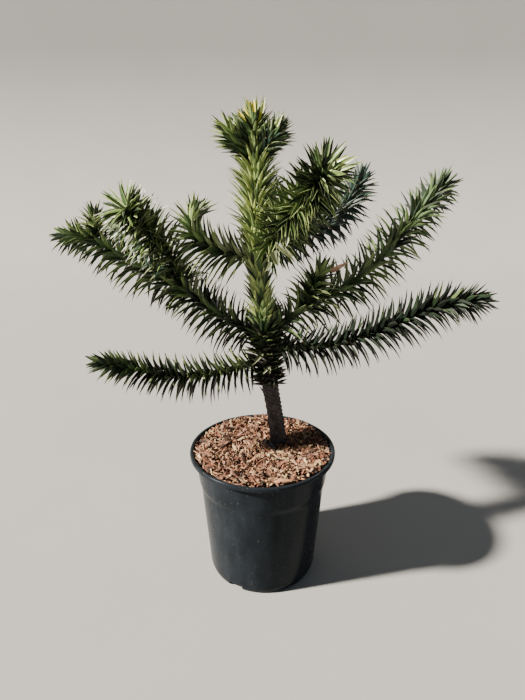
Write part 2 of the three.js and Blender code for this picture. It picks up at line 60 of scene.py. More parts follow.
# The key light comes from the left, a little from the front. The sky fills the shade.
KEY = Settings(towards=(0.812, 0.204, -0.531), angle=4.0, strength=22.0, colour=(1.0, 0.93, 0.82))
SKY = Settings(colour=(0.70, 0.83, 1.0), strength=0.24)

# The stage, in metres: a floor that bends up into a wall far behind.
STAGE = Settings(half_width=9.0, front=-9.0, wall=3.6, bend=1.4, height=5.0, bend_steps=16)

# The pot: a tapered wall, a wider collar above a step, and a rolled lip.
POT = Settings(
    height=221, wall=2.2, floor=3,
    foot_radius=85, foot_edge_radius=87.8, foot_edge_height=2.6, corner_radius=90, corner_height=9,
    step_radius=101.6, step_height=164, step_ease=2.5, collar_radius=104.5, collar_height=168,
    lip_height=213.5, lip_root_radius=109, lip_inner_radius=113.5, lip_radius=118.3, lip_draft=0.3,
    sides=144, sharp_angle=35,
)
NOTCH = Settings(count=4, first_heading=-120, width=25, height=9, depth=16)
NUB = Settings(heading=-92, width=5, height=2.6, depth=4, level=215.5, sink=0.6)

# What fills the pot: the root ball, and bark mulch on it up to just below the rim. The bed of the
# mulch is sunk below its surface, and the chips lie in a layer about the surface.
ROOT_BALL_TOP = 204
MULCH = Settings(
    level=216.5, lump=1.5, lump_size=17, calm_from_radius=84, back_rise=3.0,
    rings=26, sectors=110, edge_gap=1.1, edge_drop=3, bed_sink=2.4, bed_grain=1.6, bed_lift=0.3,
)
CHIPS = Settings(
    count=4300, lengths=(8, 27), length_bias=1.7, widths=(1.6, 5.0), width_bias=1.4, thickness=(0.8, 2.3),
    tilt=28, heights=(-2.4, 3.4), wall_gap=0.4, trunk_overlap=1.5,
)
SPLINTERS = Settings(
    count=34, lengths=(10, 34), length_bias=1.5, widths=(1.0, 2.4), thickness=1.1,
    heading=-52, swing=30, pitch=4, roll=10, rise=0.6, pale_share=0.7,
)
SPLINTER_PATCH = Settings(x=30, y=-44, radius=42)

# An uneven chip: shares of its length, width or thickness. Its ends are slimmer than its middle.
CHIP_SHAPE = Settings(
    stations=(-0.5, 0.05, 0.5), corners=((-0.5, -0.5), (0.5, -0.5), (0.5, 0.5), (-0.5, 0.5)),
    first_end=(0.35, 0.95), last_end=(0.15, 0.85),
    jitter_along=0.16, jitter_across=0.35, jitter_above=0.5, bow=0.2,
)

# Chips that stand out, as in the photograph: place, heading, size and colour.
SINGLE_CHIP_RISE = 1.2
# The pale chips here are partly painted highlights.
SINGLE_CHIPS = [
    ((30, -20), -22, (16, 7, 2), "pale"),
    ((47, -43), -54, (36, 2.6, 1.4), "pale"),
    ((-2, -31), -44, (21, 4, 1.6), "pale"),
    ((43, -78), -50, (32, 2.6, 1.6), "pale"),
    ((29, -100), 9, (24, 7, 2.2), "amber"),
    ((10, -106), 0, (8, 6, 2), "pale"),
    ((-14, -74), -27, (11, 5, 2), "pale"),
    ((17, -65), -54, (14, 5, 2), "pale"),
    ((-46, -5), -74, (29, 4.5, 2), "pale"),
    ((81, -51), 53, (18, 7, 2), "amber"),
    ((-86, -23), -45, (17, 6, 2), "rust"),
]

# Dark and light colour of each kind of chip, and its share of all chips. The dark kind is partly
# painted shade in the gaps between chips, and the pale kind partly painted highlight on sunlit chips.
CHIP_COLOURS = {
    "rust": ((0.100, 0.036, 0.016), (0.195, 0.076, 0.036), 0.29),
    "brown": ((0.044, 0.017, 0.009), (0.105, 0.042, 0.022), 0.17),
    "tan": ((0.180, 0.098, 0.056), (0.320, 0.188, 0.112), 0.18),
    "pink": ((0.130, 0.064, 0.040), (0.225, 0.118, 0.076), 0.12),
    "dark": ((0.012, 0.006, 0.004), (0.030, 0.014, 0.009), 0.09),
    "pale": ((0.300, 0.190, 0.095), (0.520, 0.380, 0.215), 0.10),
    "amber": ((0.260, 0.120, 0.055), (0.430, 0.220, 0.110), 0.05),
}
CHIP_KINDS = list(CHIP_COLOURS)

# Lumps of root and soil against the trunk's foot: middle and radius of each.
FOOT_LUMPS = [((4, 18, 220), 4.6), ((14, 4, 221.5), 4.2), ((18, -1, 219.5), 3.4)]
LUMP = Settings(rings=9, sides=14, uneven=0.24, stretch=(1.25, 1, 0.8))

# The trunk leans left as it rises: its centre and radius at some heights.
TRUNK = Settings(
    foot=216.3,
    y=20,
    z=[216, 229, 272, 319, 383, 450, 524, 577, 637, 690, 708],
    x=[27.5, 26, 20.5, 12.8, 6, -1, -7, -10, -9, -11, -11.6],
    radius=[14.8, 12.9, 12.3, 12.6, 11.2, 8.6, 7.2, 6.4, 5.2, 4, 2.4],
    sides=112, bare_top=336, bare_step=0.9, leafy_step=2.4, green_from=400, grain=0.25,
)

# Scars of old leaves: each rises to its height over the mean level of the bark, and falls over
# a share of its height. A few more than fit are made past each end.
SCAR = Settings(
    pitch=0.66, width=9.5, height=5.4, depth=2.1, depth_on_green=0.6, fall=0.35, mean=0.3, spare=6
)
BOUGH = Settings(sides=40, step=0.9, flare=1.25, overlap=3, scar_share=0.6, grain=0.2)
STEM = Settings(sides=12, step=3.0, tip_radius=1.8, knob=0.14)

# Turn from one leaf to the next round its stem, and steps in a limb's centre line. A limb that
# starts within a few degrees of upright has no clear side, and takes the right.
GOLDEN_ANGLE = 137.508
LINE_STEPS = 40
LEAST_SIDE = 0.1

# A leaf: a stiff spear, widest near its root, guttered above, keeled below, with a pale
# margin on each side, partly painted highlight along lit edges, and a spine at its tip. Shares
# are of its length or of its half width.
LEAF = Settings(
    sections=[0.0, 0.13, 0.3, 0.5, 0.7, 0.86, 0.95], middle_section=3,
    root_share=0.7, widest_at=0.28, taper=1.7,
    margin=0.76, gutter=0.42, gutter_at_margin=0.35, keel=0.85, edge=0.16,
    base_spread=0.78, tip_spread=1.24, droop=4, bud_spread=4, closing=13,
    angle_jitter=16, length_jitter=0.26, width_jitter=0.3, lit_from_above=0.45, longer_below=0.15,
    sag=0.2, sag_limits=(0.4, 1.6), twist=0.13, twist_at_root=0.4, root_depth=0.75, trunk_gap=1,
)

# Across a leaf: place as a share of the half width, and lift above the margin as the same share.
LEAF_RIM = [
    (-1.0, 0.0),
    (-LEAF.margin, -LEAF.gutter * LEAF.gutter_at_margin),
    (0.0, -LEAF.gutter),
    (LEAF.margin, -LEAF.gutter * LEAF.gutter_at_margin),
    (1.0, 0.0),
    (1.0, -LEAF.edge),
    (0.0, -LEAF.keel),
    (-1.0, -LEAF.edge),
]

# Parts of a leaf with their roughness, and the part that each strip round the rim belongs to.
LEAF_PARTS = {"blade": 0.38, "margin": 0.45, "under": 0.5}
STRIP_PARTS = [1, 0, 0, 1, 1, 2, 2, 1]
MARGIN_GLOSS = 0.4
UNDER_GLOSS = 0.3
SPINE = Settings(colour=(0.16, 0.10, 0.04), roughness=0.5)

# Each tone of leaf: colours of the blade above, the margin and the underside, and the blade's gloss.
# The margin's pale colour is partly painted highlight along the lit edges of the leaves.
TONES = {
    "old": ((0.012, 0.013, 0.008), (0.028, 0.028, 0.015), (0.015, 0.015, 0.009), 0.3),
    # The coal and night tones are near black: partly the leaves' own dark green, partly painted shade.
    "coal": ((0.003, 0.006, 0.003), (0.010, 0.015, 0.007), (0.004, 0.007, 0.004), 0.08),
    "night": ((0.004, 0.009, 0.004), (0.022, 0.032, 0.014), (0.006, 0.011, 0.006), 0.22),
    "deep": ((0.009, 0.021, 0.008), (0.085, 0.110, 0.042), (0.012, 0.024, 0.010), 0.4),
    "blue": ((0.009, 0.026, 0.017), (0.048, 0.076, 0.050), (0.014, 0.032, 0.023), 0.4),
    "mid": ((0.032, 0.066, 0.015), (0.190, 0.235, 0.080), (0.048, 0.084, 0.030), 0.45),
    "light": ((0.082, 0.140, 0.030), (0.320, 0.380, 0.140), (0.115, 0.170, 0.058), 0.6),
    "fresh": ((0.130, 0.195, 0.045), (0.560, 0.620, 0.300), (0.205, 0.280, 0.092), 0.6),
    "young": ((0.240, 0.305, 0.060), (0.640, 0.680, 0.340), (0.330, 0.400, 0.120), 0.6),
    "pale": ((0.120, 0.150, 0.070), (0.400, 0.430, 0.250), (0.170, 0.200, 0.105), 0.4),
    "bud": ((0.420, 0.360, 0.020), (0.560, 0.500, 0.060), (0.460, 0.410, 0.040), 0.6),
    "olive": ((0.052, 0.062, 0.026), (0.140, 0.150, 0.085), (0.066, 0.076, 0.040), 0.15),
    "dry": ((0.500, 0.280, 0.180), (0.620, 0.420, 0.290), (0.540, 0.340, 0.230), 0.3),
    "dead": ((0.030, 0.024, 0.018), (0.130, 0.110, 0.085), (0.040, 0.032, 0.024), 0.2),
}
TONE_NAMES = list(TONES)

# Weights of the tones along a stem, from its root to its tip, dark tones first.
TONES_OF = {
    "lower": dict(
        night=[50, 40, 20], deep=[20, 30, 40], mid=[10, 10, 20], light=[10, 15, 20], pale=[10, 5, 0]
    ),
    # The low right branch's near-black mix is partly painted shade.
    "dark": dict(
        coal=[65, 55, 30], night=[27, 35, 30], deep=[8, 8, 25], light=[0, 2, 15]
    ),
    # Darkest at the root of the high left branch: partly painted shade under the branch.
    "left_main": dict(
        night=[60, 40, 5], deep=[30, 30, 30], mid=[10, 15, 25], light=[0, 10, 20], pale=[0, 5, 10],
        fresh=[0, 0, 10],
    ),
    "right_main": dict(
        night=[10, 0, 30], deep=[40, 15, 45], mid=[30, 35, 20], light=[15, 30, 5], fresh=[5, 20, 0]
    ),
    "upper": dict(
        night=[15, 10, 0], deep=[30, 30, 30], mid=[25, 25, 25], light=[15, 20, 25], pale=[20, 15, 10],
        fresh=[5, 10, 15],
    ),
    "fork": dict(
        blue=[30, 30, 10, 5], deep=[30, 25, 20, 15], mid=[10, 15, 20, 25], light=[15, 15, 25, 30],
        pale=[15, 12, 10, 8], fresh=[0, 3, 13, 15], young=[0, 0, 2, 2],
    ),
    "stub": dict(
        deep=[30, 30, 20], mid=[30, 30, 20], light=[30, 30, 30], fresh=[10, 10, 30]
    ),
    "shaded": dict(
        night=[30, 25, 15], blue=[40, 50, 50], deep=[30, 25, 35]
    ),
    "rosette": dict(
        night=[10, 10, 10, 20, 25], deep=[25, 25, 25, 30, 30], mid=[30, 30, 30, 25, 25],
        light=[25, 20, 20, 15, 15], fresh=[10, 15, 15, 10, 5],
    ),
    "whorl": dict(
        night=[15, 15, 10], old=[60, 40, 30], deep=[25, 35, 40], mid=[0, 10, 20]
    ),
    # These two mixes of light tones are partly painted sunlight on the trunk's leafy column.
    "lit_column": dict(
        deep=[10], mid=[10], light=[15], fresh=[30], young=[35]
    ),
    "column": dict(
        deep=[12, 12, 12], mid=[14, 10, 10], light=[25, 20, 20], fresh=[30, 35, 35], young=[25, 30, 30]
    ),
    "outer": dict(
        night=[10, 10, 10], deep=[35, 35, 30], mid=[30, 30, 30], light=[20, 20, 20], fresh=[5, 5, 10]
    ),
    "crown": dict(
        night=[30, 10, 0], deep=[40, 30, 5], mid=[20, 30, 15], light=[10, 20, 20], fresh=[0, 10, 30],
        young=[0, 0, 30],
    ),
    "crown_shade": dict(
        blue=[50, 40, 10], deep=[50, 40, 20], mid=[0, 20, 25], pale=[0, 0, 25], fresh=[0, 0, 20]
    ),
    "leader": dict(
        night=[10, 10, 10, 0], deep=[40, 30, 20, 0], mid=[20, 20, 20, 0], light=[10, 20, 20, 20],
        fresh=[10, 10, 10, 15], young=[0, 0, 5, 10], bud=[0, 0, 0, 50],
    ),
}


@dataclass
class Leaves:
    """The leaves of one stem. Lengths are along it, and so are spreads, in degrees from the stem.
    spacing is the length of stem for each leaf, crowding above 1 brings the leaves closer together
    toward the tip, and closed is the share of their spread that those at the tip keep."""

    tones: str
    lengths: list
    spreads: list
    spacing: float
    width: float = 6.2
    closed: float = 0.35
    crowding: float = 1.25


@dataclass
class Limb:
    """A branch, shoot or fork. It starts at a height on the trunk, or a fork at a share of the
    length of the limb that it grows from. bough is the length of a branch's bare foot."""

    start: float
    headings: list
    climbs: list
    length: float
    radius: float
    leaves: Leaves
    bough: float = 0
    forks: tuple = ()


# Forks of the high branches. The small one grows from the outer one.
SMALL_FORK = Limb(
    0.76, [196, 190], [88, 88], 39, radius=3.4,
    leaves=Leaves("upper", [28, 32, 30], [64, 60, 50], spacing=0.637, width=6.6),
)
INNER_FORK = Limb(
    0.98, [192, 222, 226], [94, 54, 47, 43], 151, radius=5,
    leaves=Leaves("fork", [46, 52, 50, 46], [74, 70, 68, 64], 0.574, 6.6, closed=0.9, crowding=1.6),
)
OUTER_FORK = Limb(
    0.86, [158, 164, 170], [23, 23, 28, 1], 230, radius=5,
    leaves=Leaves("outer", [46, 52, 46, 31], [76, 74, 70, 50], spacing=1.155, width=7.6),
    forks=(SMALL_FORK,),
)
STUB = Limb(
    0.19, [-12, -2, 4], [72, 66, 68], 58, radius=4.2,
    leaves=Leaves("stub", [40, 42, 38], [68, 64, 52], spacing=0.7, width=7),
)

BRANCHES = {
    "left_low": Limb(
        367, [195, 200, 196], [-12, -5, 18, 19], 253, radius=5.5, bough=22,
        leaves=Leaves("lower", [34, 41, 36, 26], [76, 74, 66, 46], spacing=1.05, width=7.8),
    ),
    "left_high": Limb(
        398, [164, 160, 158], [29, 22, 30, 38], 168, radius=6.5, bough=23,
        leaves=Leaves("left_main", [44, 52, 50, 44], [76, 74, 72, 62], spacing=0.9, width=7.2),
        forks=(INNER_FORK, OUTER_FORK),
    ),
    "right_low": Limb(
        386, [-20, -16, -10], [8, 10, 26, 31, 6], 314, radius=6, bough=22,
        leaves=Leaves("dark", [38, 43, 44, 32], [70, 66, 64, 50], spacing=0.95, width=7),
    ),
    "right_high": Limb(
        403, [20, 26, 36], [37, 18, 45, 36], 402, radius=6.5, bough=23,
        leaves=Leaves("right_main", [46, 50, 54, 38], [76, 72, 70, 54], spacing=1.15, width=6.8),
        forks=(STUB,),
    ),
    "back_low": Limb(
        391, [86, 84, 88], [6, 8, 14], 120, radius=5, bough=21,
        leaves=Leaves("lower", [34, 38, 32], [72, 68, 50], spacing=1.1, width=8),
    ),
    "upper_left": Limb(
        523, [196, 190, 184], [18, 16, 29, 124], 131, radius=4.6, bough=18,
        leaves=Leaves("upper", [46, 50, 44, 36], [62, 58, 52, 38], spacing=0.85, width=7.2, closed=0.6),
    ),
    "upper_front": Limb(
        539, [-50, -56, -54], [14, 48, 38, 45], 178, radius=5.2, bough=18,
        leaves=Leaves("rosette", [44, 48, 46, 44], [68, 68, 71, 68], 0.62, 6.8, closed=0.6, crowding=1.5),
    ),
    "upper_right": Limb(
        529, [36, 42, 40], [22, 15, 15, 66], 250, radius=5.2, bough=18,
        leaves=Leaves("shaded", [42, 46, 44, 36], [66, 66, 64, 50], spacing=1.0, width=6.6),
    ),
    "upper_back": Limb(
        550, [74, 80, 78], [30, 38, 48], 116, radius=4.4, bough=17,
        leaves=Leaves("shaded", [38, 42, 34], [66, 62, 50], spacing=0.95, width=6.6),
    ),
}


def crown_shoot(start, headings, climbs, length, tones):
    """A short young shoot beside the leader, set straight on the trunk."""
    leaves = Leaves(tones, [28, 38, 34], [18, 34, 36], spacing=0.55)
    return Limb(start, headings, climbs, length, radius=3, leaves=leaves)


CROWN_SHOOTS = {
    "crown_left": crown_shoot(662, [190, 196], [40, 52], 46, "crown"),
    "crown_front": crown_shoot(656, [-34, -26], [50, 58], 48, "crown_shade"),
    "crown_right": crown_shoot(664, [30, 34], [44, 54], 42, "crown_shade"),
    "crown_back": crown_shoot(668, [122, 128], [46, 56], 42, "crown_shade"),
}

# Leaves on the trunk itself: the lowest and highest level of each stretch, and its leaves.
SLEEVES = {
    "trunk_low": (323, 419, Leaves("whorl", [18, 28, 38], [66, 60, 52], spacing=0.5, width=8)),
    "trunk_middle": (419, 554, Leaves("lit_column", [30, 32, 42], [34, 22, 36], spacing=0.55, width=7.6)),
    "trunk_upper": (554, 660, Leaves("column", [47, 49, 44], [40, 43, 38], spacing=0.42, width=5.2)),
    "leader": (
        660, 713, Leaves("leader", [40, 40, 37, 32], [42, 44, 42, 36], 0.46, closed=0.6, crowding=1.4)
    ),
}

# Single leaves that stand out or lie across the others: root, tip, width and tone. Their upper
# sides are turned to the front.
FRONT = np.array([0.0, -0.94, 0.34])
ODD_LEAVES = [
    # Broken and hanging ones under the upper front branch, and by the lower whorl.
    ((9, -48, 535), (3, -55, 522), 11, "olive"),
    ((15, -52, 550), (21, -61, 530), 12, "olive"),
    ((18, -56, 561), (43, -73, 539), 8, "olive"),
    ((30, -66, 571), (29, -71, 556), 9, "olive"),
    ((0, 0, 386), (-14, -11, 370), 7, "olive"),
    ((-8, 4, 375), (-28, -3, 387), 8, "dead"),
    ((11, -4, 365), (-1, -10, 352), 3.4, "pale"),
    ((10, -6, 363), (11, -9, 353), 5, "olive"),
    # Stubs on the bare trunk.
    ((22, 20, 327), (40, 20, 325), 4, "dead"),
    ((3, 12, 313), (-6, 8, 327), 2.8, "dead"),
    ((-4, 14, 334), (-19, 9, 335), 4.5, "night"),
    # Dried ones on the high right branch, and a lit one under the low left branch.
    ((104, 38, 503), (131, 32, 520), 7.5, "dry"),
    ((105, 40, 504), (108, 36, 527), 6, "pale"),
    ((-51, 4, 350), (-54, 4, 332), 6, "young"),
    # The heart and the outer leaves of the upper front branch's rosette, and the fold below it. Their
    # bright young, fresh and pale tones are partly painted sunlight and glint on those leaves.
    ((74, -104, 650), (98, -114, 649), 7.5, "light"),
    ((78, -106, 653), (85, -110, 668), 5.5, "fresh"),
    ((88, -104, 655), (112, -112, 671), 4, "young"),
    ((89, -106, 653), (118, -114, 663), 4.5, "fresh"),
    ((80, -102, 666), (98, -106, 687), 4.5, "light"),
    ((87, -104, 663), (102, -108, 671), 4, "young"),
    ((74, -100, 667), (79, -100, 693), 5.5, "mid"),
    ((64, -100, 656), (63, -96, 688), 5, "mid"),
    ((80, -112, 635), (97, -112, 613), 4.5, "pale"),
    ((69, -114, 644), (78, -116, 626), 5, "fresh"),
    # The leader's tip.
    ((-1, -14, 721), (3, -14, 740), 4.5, "young"),
    ((-11, -16, 722), (-12, -12, 739), 5, "bud"),
    ((18, -16, 705), (26, -18, 720), 4.5, "young"),
]


# Numbers and directions


def along(values, t):
    """The value at share t of a list of evenly spaced values."""
    return np.interp(t, np.linspace(0, 1, len(values)), values)


def within(limits, share):
    low, high = limits
    return low + (high - low) * share


def jitter(random, *shape):
    """Random values between -0.5 and 0.5."""
    return random.random(shape) - 0.5


def unit(vectors):
    return vectors / np.linalg.norm(vectors, axis=-1, keepdims=True)


def stack(*parts):
    """Arrays side by side, as the last axis of one array."""
    return np.stack(parts, axis=-1)


def dot(a, b):
    return np.sum(a * b, axis=-1, keepdims=True)


def smooth_step(value, low, high):
    t = np.clip((value - low) / (high - low), 0, 1)
    return t * t * (3 - 2 * t)


def turns(count):
    """Angles round a full turn."""
    return 2 * np.pi * np.arange(count) / count


def direction(heading, climb):
    turn = np.radians(heading)
    rise = np.radians(climb)
    return stack(np.cos(turn) * np.cos(rise), np.sin(turn) * np.cos(rise), np.sin(rise))


# Meshes from arrays


def link_object(name, data):
    """An object of this data, in the scene."""
    thing = bpy.data.objects.new(name, data)
    bpy.context.scene.collection.objects.link(thing)
    return thing


def add_object(name, points, groups, materials):
    """An object of points in millimetres. Each group of faces is an array of corners with the
    material of each face and whether the group is smooth."""
    mesh = bpy.data.meshes.new(name)
    mesh.vertices.add(len(points))
    mesh.vertices.foreach_set("co", (points * MM).astype(np.float32).ravel())
    corners = np.concatenate([faces.ravel() for faces, _, _ in groups])
    sizes = np.concatenate([np.full(len(faces), faces.shape[1]) for faces, _, _ in groups])
    kinds = np.concatenate([np.broadcast_to(kind, len(faces)) for faces, kind, _ in groups])
    smooth = np.concatenate([np.full(len(faces), flag) for faces, _, flag in groups])
    mesh.loops.add(len(corners))
    mesh.loops.foreach_set("vertex_index", corners.astype(np.int32))
    mesh.polygons.add(len(sizes))
    starts = np.concatenate([[0], np.cumsum(sizes)[:-1]])
    mesh.polygons.foreach_set("loop_start", starts.astype(np.int32))
    mesh.polygons.foreach_set("material_index", kinds.astype(np.int32))
    mesh.polygons.foreach_set("use_smooth", smooth)
    for material in materials:
        mesh.materials.append(material)
    mesh.update(calc_edges=True)
    mesh.validate()
    return link_object(name, mesh)


def dress(piece, slot, *nodes):
    """Makes a piece ride with the plant and stand for its nodes. slot is not used."""
    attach(piece, BODY)
    if nodes:
        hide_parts(*nodes)


def ring_faces(rings, sides):
    """Quads between rings of points, each ring closed."""
    ring = np.arange(rings - 1)[:, None] * sides
    a = np.arange(sides)[None, :]
    b = (a + 1) % sides
    return stack(ring + a, ring + b, ring + sides + b, ring + sides + a).reshape(-1, 4)


def tube_mesh(centres, sides, overs, radii):
    """Points, sides and end caps of a tube. radii has a row for each ring and a column for each side."""
    rings, count = radii.shape
    turn = turns(count)[None, :, None]
    across = sides[:, None] * np.cos(turn) + overs[:, None] * np.sin(turn)
    points = centres[:, None] + across * radii[..., None]
    first_cap = np.arange(count)[::-1]
    last_cap = np.arange(count) + (rings - 1) * count
    return points.reshape(-1, 3), ring_faces(rings, count), np.stack([first_cap, last_cap])


def pole_mesh(rings, first_pole, last_pole):
    """Points, sides and end fans of a closed shape: rings of points between two poles."""
    count, sides = rings.shape[:2]
    points = np.concatenate([rings.reshape(-1, 3), [first_pole, last_pole]])
    a = np.arange(sides)
    b = (a + 1) % sides
    last = (count - 1) * sides
    first_fan = stack(b, a, np.full(sides, len(points) - 2))
    last_fan = stack(last + a, last + b, np.full(sides, len(points) - 1))
    return points, ring_faces(count, sides), np.concatenate([first_fan, last_fan])


def joined(shapes):
    """Points, sides and ends of several shapes, as those of one."""
    firsts = np.cumsum([0] + [len(points) for points, _, _ in shapes[:-1]])
    points, quads, ends = zip(*shapes)
    quads = [faces + first for faces, first in zip(quads, firsts)]
    ends = [faces + first for faces, first in zip(ends, firsts)]
    return np.concatenate(points), np.concatenate(quads), np.concatenate(ends)


# Limbs


def grow_line(start, limb):
    """Centre line of a limb, as fine steps with their directions."""
    t = np.linspace(0, 1, LINE_STEPS + 1)
    middle = t[:-1] + 0.5 / LINE_STEPS
    steps = direction(along(limb.headings, middle), along(limb.climbs, middle)) * limb.length / LINE_STEPS
    centres = np.concatenate([[start], start + np.cumsum(steps, axis=0)])
    tangents = direction(along(limb.headings, t), along(limb.climbs, t))
    side = np.cross(UP, tangents[0])
    if np.linalg.norm(side) < LEAST_SIDE:
        side = RIGHT
    sides = []
    for tangent in tangents:
        side = unit(side - tangent * side.dot(tangent))
        sides.append(side)
    return Settings(centres=centres, tangents=tangents, sides=np.array(sides), length=limb.length)


def stations(line, distances):
    """Centres, tangents and cross directions of a centre line at distances along it."""
    place = np.clip(np.asarray(distances) / line.length, 0, 1) * LINE_STEPS
    steps = np.arange(LINE_STEPS + 1)

    def at(values):
        return stack(*(np.interp(place, steps, column) for column in values.T))

    tangents = unit(at(line.tangents))
    sides = at(line.sides)
    sides = unit(sides - tangents * dot(sides, tangents))
    return at(line.centres), tangents, sides, np.cross(tangents, sides)


def trunk_centre(z):
    """Centre of the trunk at heights, its lean smoothed between the known ones."""
    heights = np.array(TRUNK.z, float)
    x = np.array(TRUNK.x, float)
    slopes = np.gradient(x, heights)
    z = np.asarray(z, float)
    inside = np.clip(z, heights[0], heights[-1])
    i = np.clip(np.searchsorted(heights, inside) - 1, 0, len(heights) - 2)
    width = heights[i + 1] - heights[i]
    t = (inside - heights[i]) / width
    from_below = (2 * t**3 - 3 * t**2 + 1) * x[i] + (t**3 - 2 * t**2 + t) * width * slopes[i]
    from_above = (3 * t**2 - 2 * t**3) * x[i + 1] + (t**3 - t**2) * width * slopes[i + 1]
    return np.stack([from_below + from_above, np.full_like(z, TRUNK.y), z], axis=-1)


def trunk_radius(z):
    return np.interp(z, TRUNK.z, TRUNK.radius)


def trunk_stations(z):
    """Centres, tangents and cross directions of the trunk at heights."""
    tangents = unit(trunk_centre(z + 1.0) - trunk_centre(z - 1.0))
    sides = unit(RIGHT - tangents * tangents[:, :1])
    return trunk_centre(z), tangents, sides, np.cross(tangents, sides)


# Leaves


def leaf_seats(length, place, leaves, random):
    """Where each leaf of a stem grows, as arrays: a spiral by the golden angle, as on the solids,
    with the real number of leaves. place gives the stem's stations and radii at distances."""
    last = int(length / leaves.spacing)
    count = last + 1
    i = np.arange(count)
    t = 1 - (1 - i / last) ** leaves.crowding
    centres, tangents, sides, overs, radii = place(t * length)
    turn = np.radians(i * GOLDEN_ANGLE + jitter(random, count) * LEAF.angle_jitter)
    outward = sides * np.cos(turn)[:, None] + overs * np.sin(turn)[:, None]
    up = outward[:, 2]
    spread = along(leaves.spreads, t) - LEAF.droop * up
    spread = spread + jitter(random, count) * LEAF.angle_jitter
    closing = smooth_step(t * length, length - LEAF.closing, length)
    spread = spread * (1 - (1 - leaves.closed) * closing)
    spread[-1] = LEAF.bud_spread
    share = 1 + jitter(random, count) * LEAF.length_jitter
    share = share - LEAF.longer_below * (1 - tangents[:, 2]) * up
    depth = radii * LEAF.root_depth
    return {
        "root": centres + outward * depth[:, None],
        "tangent": tangents,
        "outward": outward,
        "spread": spread,
        "length": along(leaves.lengths, t) * share + radii - depth,
        "width": leaves.width * (1 + jitter(random, count) * LEAF.width_jitter),
        "sag": LEAF.sag * (1 - up) * within(LEAF.sag_limits, random.random(count)),
        "twist": random.normal(0, LEAF.twist, count),
        "tone": deal_tones(leaves.tones, t, up, tangents[:, 2], random),
    }


def deal_tones(kind, t, up, rise, random):
    """A tone for each leaf, by the weights of the tones at its share along the stem. They are listed
    from dark to light. On a level stem the leaves on top are dealt the lighter ones, as painted sunlight,
    and those below the darker ones, as painted shade."""
    weights = TONES_OF[kind]
    limits = np.cumsum([along(values, t) for values in weights.values()], axis=0)
    bias = LEAF.lit_from_above * (1 - np.abs(rise))
    draw = random.random(len(t)) * (1 - bias) + (0.5 + 0.5 * up) * bias
    pick = np.sum(draw > limits / limits[-1], axis=0).clip(0, len(weights) - 1)
    return np.array([TONE_NAMES.index(name) for name in weights])[pick]


def joined_seats(batches):
    return {key: np.concatenate([batch[key] for batch in batches]) for key in batches[0]}


def width_share(s):
    """Half width of a leaf at share s of its length, as a share of its widest."""
    rise = LEAF.root_share + (1 - LEAF.root_share) * np.sin(np.pi / 2 * np.clip(s / LEAF.widest_at, 0, 1))
    fall = 1 - np.clip((s - LEAF.widest_at) / (1 - LEAF.widest_at), 0, 1) ** LEAF.taper
    return np.where(s < LEAF.widest_at, rise, fall)


def leaf_lines(seats):
    """Centre, direction and upper normal of each leaf at its sections and its tip."""
    s = np.array([*LEAF.sections, 1.0])[None, :, None]
    tangent = seats["tangent"][:, None, :]
    outward = seats["outward"][:, None, :]
    bend = within((LEAF.base_spread, LEAF.tip_spread), s)
    angle = np.radians(seats["spread"])[:, None, None] * bend
    twist = seats["twist"][:, None, None] * (LEAF.twist_at_root + s)
    pointing = tangent * np.cos(angle) + outward * np.sin(angle) + np.cross(tangent, outward) * twist
    pointing = unit(pointing - UP * (seats["sag"][:, None, None] * s))
    upper = tangent * np.sin(angle) - outward * np.cos(angle)
    upper = unit(upper - pointing * dot(upper, pointing))
    steps = np.diff(s, axis=1) * seats["length"][:, None, None]
    moves = (pointing[:, 1:] + pointing[:, :-1]) / 2 * steps
    centres = np.concatenate([np.zeros_like(moves[:, :1]), np.cumsum(moves, axis=1)], axis=1)
    return seats["root"][:, None, :] + centres, pointing, upper


def add_leaves(name, slot, seats, *nodes):
    """Many leaves as one piece, in place of its nodes."""
    centres, pointing, upper = leaf_lines(seats)
    half = seats["width"][:, None] / 2 * width_share(np.array(LEAF.sections))
    aside, lift = (half[..., None, None] * shares[:, None] for shares in np.transpose(LEAF_RIM))
    across = np.cross(pointing, upper)
    rims = centres[:, :-1, None] + across[:, :-1, None] * aside + upper[:, :-1, None] * lift
    count, sections, sides = rims.shape[:3]
    tip = sections * sides
    points = np.concatenate([rims.reshape(count, -1, 3), centres[:, -1:]], axis=1)

    quads = ring_faces(sections, sides)
    a = np.arange(sides)
    b = (a + 1) % sides
    tips = stack(tip - sides + a, tip - sides + b, np.full(sides, tip))
    starts = (np.arange(count) * (tip + 1))[:, None, None]

    used, place = np.unique(seats["tone"], return_inverse=True)
    materials = [material for tone in used for material in leaf_materials(TONE_NAMES[tone])]
    materials.append(spine_material())
    blade = place * len(LEAF_PARTS)
    part = np.tile(STRIP_PARTS, sections - 1)
    groups = [
        ((starts + quads).reshape(-1, 4), (blade[:, None] + part).ravel(), False),
        ((starts + tips).reshape(-1, 3), len(materials) - 1, False),
        ((starts + a[None, ::-1]).reshape(-1, sides), blade, False),
    ]
    dress(add_object(name, points.reshape(-1, 3), groups, materials), slot, *nodes)


def add_odd_leaves():
    """The single leaves as one piece."""
    roots, tips, widths, tones = zip(*ODD_LEAVES)
    roots = np.array(roots, float)
    spans = np.array(tips) - roots
    pointing = unit(spans)
    straight = np.zeros(len(roots))
    seats = {
        "root": roots,
        "tangent": unit(FRONT - pointing * dot(FRONT, pointing)),
        "outward": pointing,
        "spread": np.full(len(roots), 90.0),
        "length": np.linalg.norm(spans, axis=-1),
        "width": np.array(widths, float),
        "sag": straight,
        "twist": straight,
        "tone": np.array([TONE_NAMES.index(tone) for tone in tones]),
    }
    add_leaves("leaves_odd", "leaf", seats)


